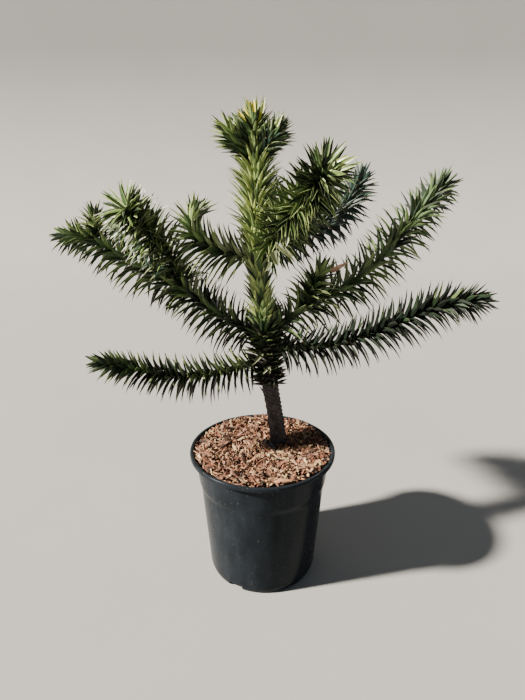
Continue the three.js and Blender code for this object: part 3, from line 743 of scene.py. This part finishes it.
def clear_of_trunk(seats):
    """Drops the leaves whose middle or tip would run into the trunk."""
    centres, _, _ = leaf_lines(seats)
    keep = np.ones(len(centres), bool)
    for section in (LEAF.middle_section, -1):
        point = centres[:, section]
        height = point[:, 2]
        away = np.linalg.norm(point[:, :2] - trunk_centre(height)[:, :2], axis=-1)
        keep &= (height >= TRUNK.z[-1]) | (away >= trunk_radius(height) + LEAF.trunk_gap)
    return {key: values[keep] for key, values in seats.items()}


def stem_seats(line, limb, start, random):
    """Seats of the leaves of a limb and all its forks, and the stems that carry them."""
    length = line.length - start
    radii = [limb.radius, STEM.tip_radius]

    def place(distances):
        return (*stations(line, start + distances), along(radii, distances / length))

    seats = [leaf_seats(length, place, limb.leaves, random)]
    stems = [(line, start, radii)]
    for fork in limb.forks:
        foot = stations(line, [fork.start * line.length])[0][0]
        more_seats, more_stems = stem_seats(grow_line(foot, fork), fork, 0, random)
        seats += more_seats
        stems += more_stems
    return seats, stems


def add_foliage(name, slot, line, limb, start, random):
    """The leaves of a limb from a distance along it. Gives the stems that carry them."""
    seats, stems = stem_seats(line, limb, start, random)
    add_leaves("leaves_" + name, slot, clear_of_trunk(joined_seats(seats)), "foliage_" + name)
    return stems


def add_sleeve(name, low, high, leaves, random):
    """The leaves on a stretch of the trunk."""

    def place(distances):
        z = low + distances
        return (*trunk_stations(z), trunk_radius(z))

    slot = "young_leaf" if name == "leader" else "leaf"
    add_leaves("leaves_" + name, slot, leaf_seats(high - low, place, leaves, random), "foliage_" + name)


def add_stems(name, stems, random):
    """The leafy stems as one piece of knobbly tubes, closed by a blunt end."""
    tubes = []
    for line, start, radii in stems:
        steps = max(2, int((line.length - start) / STEM.step))
        centres, _, sides, overs = stations(line, np.linspace(start, line.length, steps + 1))
        radius = along(radii, np.linspace(0, 1, steps + 1))[:, None]
        radius = radius * (1 - STEM.knob * random.random((steps + 1, STEM.sides)))
        tubes.append(tube_mesh(centres, sides, overs, radius))
    points, quads, caps = joined(tubes)
    groups = [(quads, 0, True), (caps, 0, False)]
    dress(add_object(name, points, groups, [grainy_material("green_stem_and_shade")]), "leaf")


# Bark


def scar_relief(turn, distance, radius, depth):
    """Height of the bark: a spiral of overlapping scars, each a wide low scale with a sharp
    upper edge, over the mean surface."""
    count = int((distance.max() - distance.min()) / SCAR.pitch) + 2 * SCAR.spare
    relief = np.zeros(np.broadcast(turn, distance).shape)
    for k in range(count):
        middle = distance.min() + (k - SCAR.spare) * SCAR.pitch
        away = (turn - math.radians(k * GOLDEN_ANGLE) + np.pi) % (2 * np.pi) - np.pi
        u = away * radius / (SCAR.width / 2)
        v = (distance - middle) / SCAR.height
        inside = (np.abs(u) < 1) & (v > -1) & (v < SCAR.fall)
        rise = np.where(v < 0, 1 + v, 1 - v / SCAR.fall)
        relief = np.maximum(relief, np.where(inside, rise * (1 - u**2), 0))
    return (relief - SCAR.mean) * depth


def barked_radii(distances, radius, depth, sides, grain, random):
    """Radius of a limb at each ring and side: its own, with the relief of scars and a fine grain."""
    rough = jitter(random, len(distances), sides) * grain
    return radius + scar_relief(turns(sides)[None, :], distances[:, None], radius, depth) + rough


def add_trunk(random):
    """The trunk with its bark: scars of old leaves, deep on the bare part."""
    bare = np.arange(TRUNK.foot, TRUNK.bare_top, TRUNK.bare_step)
    leafy = np.arange(TRUNK.bare_top, TRUNK.z[-1], TRUNK.leafy_step)
    z = np.concatenate([bare, leafy, [TRUNK.z[-1]]])
    depth = np.where(z < TRUNK.green_from, SCAR.depth, SCAR.depth_on_green)[:, None]
    radii = barked_radii(z, trunk_radius(z)[:, None], depth, TRUNK.sides, TRUNK.grain, random)
    sides = np.tile(RIGHT, (len(z), 1))
    overs = np.tile(BACK, (len(z), 1))
    points, quads, caps = tube_mesh(trunk_centre(z), sides, overs, radii)
    green = (np.repeat(z[:-1], TRUNK.sides) > TRUNK.green_from).astype(int)
    groups = [(quads, green, True), (caps, 0, False)]
    materials = [grainy_material("dark_bark"), grainy_material("green_stem_and_shade")]
    dress(add_object("trunk_bark", points, groups, materials), "bark", "trunk")


def add_bough(name, line, limb, random):
    """The bare foot of a branch with its bark, flared where it leaves the trunk."""
    length = limb.bough + BOUGH.overlap
    distances = np.linspace(0, length, int(length / BOUGH.step) + 1)
    flare = limb.radius * BOUGH.flare
    radius = along([flare, flare, limb.radius, limb.radius], distances / limb.bough)[:, None]
    depth = SCAR.depth * BOUGH.scar_share
    radii = barked_radii(distances, radius, depth, BOUGH.sides, BOUGH.grain, random)
    centres, _, sides, overs = stations(line, distances)
    points, quads, caps = tube_mesh(centres, sides, overs, radii)
    groups = [(quads, 0, True), (caps, 0, False)]
    bough = add_object("bark_" + name, points, groups, [grainy_material("dark_bark")])
    dress(bough, "bark", "bough_" + name)


# Pot


def pot_inside(z):
    """Inner radius of the pot's wall at a height."""
    p = POT
    low = np.interp(z, [p.corner_height, p.step_height], [p.corner_radius, p.step_radius])
    high = np.interp(z, [p.collar_height, p.lip_height], [p.collar_radius, p.lip_root_radius])
    wall = np.where(np.asarray(z) < p.step_height, low, high) - p.wall
    flare = np.interp(z, [p.lip_height, p.height], [p.lip_root_radius - p.wall, p.lip_inner_radius])
    return np.where(np.asarray(z) > p.lip_height, flare, wall)


def rounded(outline, steps=4):
    """The outline with each corner that has a rounding turned into a short curve."""
    points = []
    for i, (r, z, rounding) in enumerate(outline):
        here = np.array([r, z], float)
        if rounding == 0:
            points.append(here)
            continue
        before = outline[i - 1][:2] - here
        after = outline[i + 1][:2] - here
        a = here + unit(before) * min(rounding, np.linalg.norm(before) / 2)
        b = here + unit(after) * min(rounding, np.linalg.norm(after) / 2)
        for t in np.linspace(0, 1, steps + 1):
            points.append((1 - t) ** 2 * a + 2 * t * (1 - t) * here + t**2 * b)
    return np.array(points)


def lathe(outline, sides):
    """Points and faces of a solid of revolution whose outline starts and ends on the axis."""
    turn = turns(sides)
    ring = stack(np.cos(turn), np.sin(turn), np.zeros(sides))
    rings = outline[1:-1, None, :1] * ring + outline[1:-1, None, 1:] * UP
    return pole_mesh(rings, outline[0, 1] * UP, outline[-1, 1] * UP)


def add_box(size, place, heading):
    """A box in millimetres, for cutting or joining, set out along a heading."""
    signs = np.array([[i, j, k] for i in (-0.5, 0.5) for j in (-0.5, 0.5) for k in (-0.5, 0.5)])
    points = signs * size + place
    turn = math.radians(heading)
    spin = np.array([[math.cos(turn), -math.sin(turn), 0], [math.sin(turn), math.cos(turn), 0], [0, 0, 1]])
    faces = np.array([[0, 1, 3, 2], [4, 6, 7, 5], [0, 4, 5, 1], [2, 3, 7, 6], [0, 2, 6, 4], [1, 5, 7, 3]])
    return add_object("tool", points @ spin.T, [(faces, 0, False)], [])


def carve(piece, tool, operation):
    """Applies a boolean to a piece and drops the tool."""
    modifier = piece.modifiers.new("carve", "BOOLEAN")
    modifier.operation = operation
    modifier.object = tool
    modifier.solver = "EXACT"
    bpy.context.view_layer.update()
    evaluated = piece.evaluated_get(bpy.context.evaluated_depsgraph_get())
    piece.data = bpy.data.meshes.new_from_object(evaluated)
    piece.modifiers.clear()
    bpy.data.objects.remove(tool)


def add_pot():
    """The pot, turned from its outline, with drain notches and a moulding nub on its lip."""
    p = POT
    shelf = p.step_height - p.wall
    # Each corner from the foot up outside and down inside: radius, height, rounding.
    outline = [
        (0, 0, 0),
        (p.foot_radius, 0, 0.6),
        (p.foot_edge_radius, p.foot_edge_height, 1.5),
        (p.corner_radius, p.corner_height, 4),
        (p.step_radius, p.step_height - p.step_ease, 4),
        (p.collar_radius, p.collar_height + p.step_ease, 4),
        (p.lip_root_radius, p.lip_height, 0.8),
        (p.lip_radius - p.lip_draft, p.lip_height, 1.6),
        (p.lip_radius, p.height, 3.4),
        (p.lip_inner_radius, p.height, 1.6),
        (pot_inside(p.lip_height), p.lip_height, 1.5),
        (pot_inside(p.collar_height), p.collar_height, 1.2),
        (pot_inside(shelf), shelf, 0.8),
        (pot_inside(p.corner_height), p.corner_height, 2),
        (p.foot_radius - p.wall, p.floor, 1),
        (0, p.floor, 0),
    ]
    points, quads, fans = lathe(rounded(outline), p.sides)
    piece = add_object("pot_shell", points, [(quads, 0, True), (fans, 0, False)], [])
    notch_size = (NOTCH.depth, NOTCH.width, 2 * NOTCH.height)
    for i in range(NOTCH.count):
        heading = NOTCH.first_heading + 360 * i / NOTCH.count
        carve(piece, add_box(notch_size, (p.foot_radius, 0, 0), heading), "DIFFERENCE")
    nub_size = (NUB.depth, NUB.width, NUB.height)
    carve(piece, add_box(nub_size, (p.lip_radius - NUB.sink, 0, NUB.level), NUB.heading), "UNION")
    piece.data.materials.clear()
    piece.data.materials.append(pot_material())
    piece.data.set_sharp_from_angle(angle=math.radians(p.sharp_angle))
    dress(piece, "pot_plastic", "pot")


# Mulch


def lumps(x, y):
    """A smooth uneven surface between about -1 and 1, as a sum of waves."""
    size = MULCH.lump_size
    waves = [(1.0, 0.3, 0.0), (-0.4, 1.1, 1.7), (0.8, 0.9, 4.1), (1.7, -1.3, 2.6), (-2.1, 0.7, 5.2)]
    return sum(np.sin((a * x + b * y) / size + shift) for a, b, shift in waves) / 3


def mulch_height(x, y):
    """Height of the mulch: lumpy, calmer near the wall, and higher at the back."""
    calm_to = pot_inside(MULCH.level)
    calm = 1 - smooth_step(np.hypot(x, y), MULCH.calm_from_radius, calm_to)
    back = MULCH.back_rise * smooth_step(y, 0, calm_to)
    return MULCH.level + MULCH.lump * calm * lumps(x, y) + back


def add_mulch_bed(random):
    """The dark ground of the mulch, which shows between the chips."""
    edge = pot_inside(MULCH.level - MULCH.edge_drop) - MULCH.edge_gap
    base_edge = pot_inside(ROOT_BALL_TOP) - MULCH.edge_gap
    base = ROOT_BALL_TOP + MULCH.bed_lift
    radii = edge * np.arange(1, MULCH.rings + 1) / MULCH.rings
    turn = turns(MULCH.sectors)
    x = radii[:, None] * np.cos(turn)
    y = radii[:, None] * np.sin(turn)
    z = mulch_height(x, y) - MULCH.bed_sink + jitter(random, *x.shape) * MULCH.bed_grain
    top = stack(x, y, z)[::-1]
    low = top[:1] * base_edge / edge
    low[..., 2] = base
    centre_height = mulch_height(0, 0) - MULCH.bed_sink
    points, quads, fans = pole_mesh(np.concatenate([low, top]), base * UP, centre_height * UP)
    groups = [(quads, 0, True), (fans, 0, True)]
    piece = add_object("mulch_bed", points, groups, [grainy_material("bark_litter")])
    dress(piece, "bark_chips", "bark_mulch")


def chip_points(centres, headings, pitches, rolls, sizes, random):
    """Corners of many chips, each a row of uneven cross-sections."""
    shape = CHIP_SHAPE
    count = len(centres)
    corners = (count, len(shape.stations), len(shape.corners))
    roll = np.radians(rolls)[:, None]
    ahead = direction(headings, pitches)
    level = direction(headings + 90, np.zeros(count))
    across = level * np.cos(roll) + np.cross(ahead, level) * np.sin(roll)
    above = np.cross(ahead, across)
    place = np.array(shape.stations)[None, :, None]
    aside, lift = np.transpose(shape.corners)
    length, width, thick = sizes.T[:, :, None, None]
    first_end = within(shape.first_end, random.random(count))
    last_end = within(shape.last_end, random.random(count))
    slim = stack(first_end, np.ones(count), last_end)[..., None]
    along_chip = length * (place + jitter(random, *corners) * shape.jitter_along)
    across_chip = width * slim * (aside + jitter(random, *corners) * shape.jitter_across)
    bow = jitter(random, count, 1, 1) * shape.bow * length * (1 - 4 * place**2)
    above_chip = thick * (lift + jitter(random, *corners) * shape.jitter_above) + bow
    points = centres[:, None, None, :]
    for axis, reach in ((ahead, along_chip), (across, across_chip), (above, above_chip)):
        points = points + axis[:, None, None, :] * reach[..., None]
    return points


def keep_in_pot(points):
    """Whether all corners of each chip are inside the pot's wall and clear of the trunk."""
    corners = points.reshape(len(points), -1, 3)
    radius = np.linalg.norm(corners[..., :2], axis=-1)
    inside = np.all(radius < pot_inside(corners[..., 2]) - CHIPS.wall_gap, axis=1)
    away = np.linalg.norm(corners[..., :2] - trunk_centre(TRUNK.foot)[:2], axis=-1)
    return inside & np.all(away > TRUNK.radius[0] - CHIPS.trunk_overlap, axis=1)


def add_chips(name, x, y, rise, tilts, sizes, kinds, random):
    """Many chips as one piece, at a rise over the mulch. tilts are headings, pitches and rolls. Those
    that would leave the pot or run into the trunk are dropped."""
    centres = stack(x, y, mulch_height(x, y) + rise)
    points = chip_points(centres, *tilts, stack(*sizes), random)
    keep = keep_in_pot(points)
    points = points[keep]
    sections, sides = points.shape[1:3]
    ends = [np.arange(sides)[::-1], np.arange(sides) + (sections - 1) * sides]
    faces = np.concatenate([ring_faces(sections, sides), ends])
    starts = (np.arange(len(points)) * sections * sides)[:, None, None]
    groups = [((starts + faces).reshape(-1, 4), np.repeat(kinds[keep], len(faces)), False)]
    materials = [grainy_material("chip_" + kind) for kind in CHIP_KINDS]
    dress(add_object(name, points.reshape(-1, 3), groups, materials), "bark_chips")


def scattered(count, radius, x, y, random):
    """Places spread evenly over a round patch."""
    radius = radius * np.sqrt(random.random(count))
    turn = 2 * np.pi * random.random(count)
    return x + radius * np.cos(turn), y + radius * np.sin(turn)


def scatter_chips(random):
    """Bark chips all over the bed, in a loose layer."""
    count = CHIPS.count
    x, y = scattered(count, pot_inside(MULCH.level) - CHIPS.wall_gap, 0, 0, random)
    rise = within(CHIPS.heights, random.random(count))
    lengths = within(CHIPS.lengths, random.random(count) ** CHIPS.length_bias)
    widths = within(CHIPS.widths, random.random(count) ** CHIPS.width_bias)
    thick = within(CHIPS.thickness, random.random(count))
    shares = [share for _, _, share in CHIP_COLOURS.values()]
    kinds = random.choice(len(shares), count, p=shares)
    headings = 360 * random.random(count)
    pitches = random.normal(0, CHIPS.tilt, count)
    rolls = random.normal(0, CHIPS.tilt, count)
    add_chips("mulch_chips", x, y, rise, (headings, pitches, rolls), (lengths, widths, thick), kinds, random)


def scatter_splinters(random):
    """Long pale splinters on top, right in front of the trunk."""
    s = SPLINTERS
    x, y = scattered(s.count, SPLINTER_PATCH.radius, SPLINTER_PATCH.x, SPLINTER_PATCH.y, random)
    lengths = within(s.lengths, random.random(s.count) ** s.length_bias)
    widths = within(s.widths, random.random(s.count))
    headings = s.heading + random.normal(0, s.swing, s.count)
    pale = random.random(s.count) < s.pale_share
    kinds = np.where(pale, CHIP_KINDS.index("pale"), CHIP_KINDS.index("tan"))
    tilts = (headings, random.normal(0, s.pitch, s.count), random.normal(0, s.roll, s.count))
    sizes = (lengths, widths, np.full(s.count, s.thickness))
    add_chips("mulch_splinters", x, y, CHIPS.heights[1] + s.rise, tilts, sizes, kinds, random)


def place_single_chips(random):
    """The chips that stand out, each where it lies in the photograph."""
    places, headings, sizes, kinds = zip(*SINGLE_CHIPS)
    x, y = np.transpose(places)
    level = np.zeros(len(places))
    tilts = (np.array(headings), level, level)
    kinds = np.array([CHIP_KINDS.index(kind) for kind in kinds])
    rise = CHIPS.heights[1] + SINGLE_CHIP_RISE
    add_chips("mulch_single_chips", x, y, rise, tilts, np.transpose(sizes), kinds, random)


def add_foot_lumps(random):
    """Small grey lumps of root and soil against the foot of the trunk."""
    rings, sides = LUMP.rings, LUMP.sides
    climbs = np.linspace(90, -90, rings + 2)[1:-1]
    ball = direction(*np.meshgrid(np.degrees(turns(sides)), climbs))
    quads = ring_faces(rings, sides)[:, ::-1]
    caps = np.stack([np.arange(sides), rings * sides - 1 - np.arange(sides)])
    lumps_made = []
    for middle, radius in FOOT_LUMPS:
        uneven = 1 + jitter(random, rings, sides, 1) * LUMP.uneven
        points = (ball * radius * uneven * LUMP.stretch + middle).reshape(-1, 3)
        lumps_made.append((points, quads, caps))
    points, quads, caps = joined(lumps_made)
    groups = [(quads, 0, True), (caps, 0, True)]
    dress(add_object("foot_lumps", points, groups, [grainy_material("grey_lump")]), "bark_chips")


# Materials


@dataclass
class Grain:
    """A look made of noise, which picks the colour from stops, and the roughness from a range if there
    is one. A noise is its features per metre and its detail. relief is the strength and the depth in
    metres of the bump that a second noise gives. colour is for viewers that can't read the noise."""

    colour: tuple
    roughness: float
    noise: tuple
    stops: list
    relief_noise: tuple = None
    relief: tuple = None
    gloss: float = 0.5
    roughness_range: tuple = None


GRAINS = {
    # Green stems, kept dark so that they read as the shade between leaves: partly painted shade.
    "green_stem_and_shade": Grain(
        colour=(0.05, 0.08, 0.025), roughness=0.6, noise=(240, 4),
        stops=[(0.35, (0.03, 0.045, 0.016)), (0.65, (0.085, 0.11, 0.035))],
        relief_noise=(700, 4), relief=(0.5, 0.0004),
    ),
    "dark_bark": Grain(
        colour=(0.05, 0.035, 0.03), roughness=0.85, noise=(95, 6),
        stops=[(0.3, (0.024, 0.022, 0.023)), (0.55, (0.062, 0.051, 0.049)), (0.78, (0.132, 0.099, 0.085))],
        relief_noise=(900, 6), relief=(0.7, 0.0005), gloss=0.25, roughness_range=(0.7, 0.95),
    ),
    "bark_litter": Grain(
        colour=(0.05, 0.03, 0.02), roughness=0.95, noise=(330, 5),
        stops=[(0.35, (0.012, 0.009, 0.007)), (0.6, (0.07, 0.036, 0.022)), (0.8, (0.22, 0.11, 0.06))],
        relief_noise=(330, 5), relief=(0.9, 0.002),
    ),
    "grey_lump": Grain(
        colour=(0.10, 0.09, 0.092), roughness=0.9, noise=(500, 4),
        stops=[(0.35, (0.035, 0.03, 0.03)), (0.65, (0.17, 0.155, 0.155))],
        relief_noise=(500, 4), relief=(0.6, 0.0006),
    ),
    "potting_soil": Grain(
        colour=(0.03, 0.02, 0.014), roughness=0.95, noise=(260, 6),
        stops=[(0.35, (0.010, 0.007, 0.005)), (0.7, (0.055, 0.035, 0.024))],
        relief_noise=(260, 6), relief=(0.9, 0.0015),
    ),
    "pale_stage": Grain(
        colour=(0.26, 0.255, 0.245), roughness=0.9, noise=(3, 3),
        stops=[(0.3, (0.255, 0.25, 0.24)), (0.7, (0.265, 0.26, 0.25))],
    ),
}
for kind, (dark, light, _) in CHIP_COLOURS.items():
    GRAINS["chip_" + kind] = Grain(
        colour=light,
        roughness=0.85,
        noise=(420, 5),
        stops=[(0.3, dark), (0.7, light)],
        relief_noise=(1100, 4),
        relief=(0.6, 0.0004),
    )


def new_material(name, colour, roughness, gloss=0.5):
    """A material whose Principled shader has this colour, roughness and specular level."""
    material = bpy.data.materials.new(name)
    material.use_nodes = True
    shader = material.node_tree.nodes["Principled BSDF"]
    shader.inputs["Base Color"].default_value = (*colour, 1)
    shader.inputs["Roughness"].default_value = roughness
    shader.inputs["Specular IOR Level"].default_value = gloss
    return material, shader


def add_node(tree, kind, **inputs):
    """A shader node with its inputs set to values, or linked to the outputs of other nodes."""
    node = tree.nodes.new("ShaderNode" + kind)
    for name, value in inputs.items():
        socket = node.inputs[name.replace("_", " ")]
        if isinstance(value, bpy.types.NodeSocket):
            tree.links.new(value, socket)
        else:
            socket.default_value = value
    return node


def noise(tree, scale, detail, stretch=(1, 1, 1)):
    """A noise texture in the object's own space, scale in features per metre."""
    place = add_node(tree, "TexCoord").outputs["Object"]
    mapped = add_node(tree, "Mapping", Vector=place, Scale=stretch).outputs["Vector"]
    return add_node(tree, "TexNoise", Vector=mapped, Scale=scale, Detail=detail).outputs["Fac"]


def ramp(tree, factor, stops):
    """Colours along a factor, from a list of (place, colour)."""
    node = add_node(tree, "ValToRGB", Fac=factor)
    elements = node.color_ramp.elements
    while len(elements) < len(stops):
        elements.new(0.5)
    for element, (place, colour) in zip(elements, stops):
        element.position = place
        element.color = (*colour, 1)
    return node.outputs["Color"]


def value_range(tree, factor, low, high):
    return add_node(tree, "MapRange", Value=factor, To_Min=low, To_Max=high).outputs["Result"]


def mix_colour(tree, factor, a, b):
    node = tree.nodes.new("ShaderNodeMix")
    node.data_type = "RGBA"
    tree.links.new(factor, node.inputs["Factor"])
    tree.links.new(a, node.inputs["A"])
    node.inputs["B"].default_value = (*b, 1)
    return node.outputs["Result"]


def bump(tree, shader, height, strength, distance):
    node = add_node(tree, "Bump", Height=height, Strength=strength, Distance=distance)
    tree.links.new(node.outputs["Normal"], shader.inputs["Normal"])


@functools.cache
def grainy_material(name):
    """The material of one of the GRAINS."""
    grain = GRAINS[name]
    material, shader = new_material(name, grain.colour, grain.roughness, grain.gloss)
    tree = material.node_tree
    patches = noise(tree, *grain.noise)
    tree.links.new(ramp(tree, patches, grain.stops), shader.inputs["Base Color"])
    if grain.roughness_range:
        tree.links.new(value_range(tree, patches, *grain.roughness_range), shader.inputs["Roughness"])
    if grain.relief:
        bump(tree, shader, noise(tree, *grain.relief_noise), *grain.relief)
    return material


@functools.cache
def leaf_materials(tone):
    """Blade, margin and underside of one tone of leaf: waxy, in plain colours dealt out leaf by leaf."""
    *colours, blade_gloss = TONES[tone]
    looks = zip(LEAF_PARTS.items(), colours, (blade_gloss, MARGIN_GLOSS, UNDER_GLOSS))
    name = "leaf_" + tone + "_"
    return [new_material(name + part, colour, rough, gloss)[0] for (part, rough), colour, gloss in looks]


@functools.cache
def spine_material():
    return new_material("leaf_spine", SPINE.colour, SPINE.roughness)[0]


def pot_material():
    """Black moulded plastic, softly glossy, with dust and faint scuffs. Its cool blue cast is painted
    reflection.
    """
    material, shader = new_material("black_plastic", (0.012, 0.014, 0.016), 0.3, gloss=0.055)
    # Painted reflection: the blue specular tint, and the blue cast of the base colours below.
    shader.inputs["Specular Tint"].default_value = (0.85, 0.93, 1.0, 1)
    tree = material.node_tree
    scuffs = noise(tree, 60, 8, stretch=(1, 1, 0.35))
    tree.links.new(value_range(tree, scuffs, low=0.16, high=0.36), shader.inputs["Roughness"])
    specks = ramp(tree, noise(tree, 520, 2), [(0.71, (0, 0, 0)), (0.75, (1, 1, 1))])
    base = ramp(tree, scuffs, [(0.3, (0.0068, 0.0088, 0.0112)), (0.7, (0.0122, 0.0152, 0.0188))])
    dusty = mix_colour(tree, specks, base, (0.16, 0.15, 0.135))
    tree.links.new(dusty, shader.inputs["Base Color"])
    bump(tree, shader, noise(tree, 1400, 3), strength=0.12, distance=0.0002)
    return material


# Camera, light and stage


def add_camera():
    """The photograph's camera. Its sensor's size goes with the picture's longer side, the height."""
    data = bpy.data.cameras.new("camera")
    data.sensor_width = CAMERA.sensor
    data.lens = CAMERA.sensor * CAMERA.focal / PHOTO_HEIGHT
    camera = link_object("camera", data)
    camera.location = CAMERA.place
    camera.rotation_euler = (math.radians(90 - CAMERA.pitch), 0, 0)
    bpy.context.scene.camera = camera


def add_light():
    data = bpy.data.lights.new("key", "SUN")
    data.energy = KEY.strength
    data.angle = math.radians(KEY.angle)
    data.color = KEY.colour
    lamp = link_object("key", data)
    lamp.rotation_mode = "QUATERNION"
    lamp.rotation_quaternion = Vector(KEY.towards).to_track_quat("-Z", "Y")
    world = bpy.data.worlds.new("sky")
    world.use_nodes = True
    background = world.node_tree.nodes["Background"]
    background.inputs["Color"].default_value = (*SKY.colour, 1)
    background.inputs["Strength"].default_value = SKY.strength
    bpy.context.scene.world = world


def add_stage():
    """A pale floor that bends up into a wall far behind."""
    s = STAGE
    foot = s.wall - s.bend
    profile = [(s.front, 0.0), (foot, 0.0)]
    for t in np.linspace(0, np.pi / 2, s.bend_steps + 1)[1:]:
        profile.append((foot + s.bend * math.sin(t), s.bend * (1 - math.cos(t))))
    profile.append((s.wall, s.height))
    rows = [[(x, y, z) for x in (-s.half_width, s.half_width)] for y, z in profile]
    points = np.array(rows, float).reshape(-1, 3) / MM
    i = np.arange(len(profile) - 1)[:, None] * 2
    faces = np.concatenate([i, i + 1, i + 3, i + 2], axis=1)
    floor = add_object("stage_floor", points, [(faces, 0, True)], [grainy_material("pale_stage")])


# The whole scene


def add_plant():
    random = np.random.default_rng(PLANT_SEED)
    stems = []
    for name, limb in BRANCHES.items():
        line = grow_line(trunk_centre(limb.start), limb)
        add_bough(name, line, limb, random)
        stems += add_foliage(name, "leaf", line, limb, limb.bough, random)
    for name, limb in CROWN_SHOOTS.items():
        line = grow_line(trunk_centre(limb.start), limb)
        stems += add_foliage(name, "young_leaf", line, limb, trunk_radius(limb.start), random)
    for name, (low, high, leaves) in SLEEVES.items():
        add_sleeve(name, low, high, leaves, random)
    add_odd_leaves()
    add_stems("leafy_stems", stems, random)
    add_trunk(random)


def add_filling():
    random = np.random.default_rng(FILLING_SEED)
    add_mulch_bed(random)
    scatter_chips(random)
    scatter_splinters(random)
    place_single_chips(random)
    add_foot_lumps(random)
    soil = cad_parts["root_ball"]
    soil.data.materials.clear()
    soil.data.materials.append(grainy_material("potting_soil"))


add_camera()
add_light()
add_stage()
add_pot()
add_filling()
add_plant()
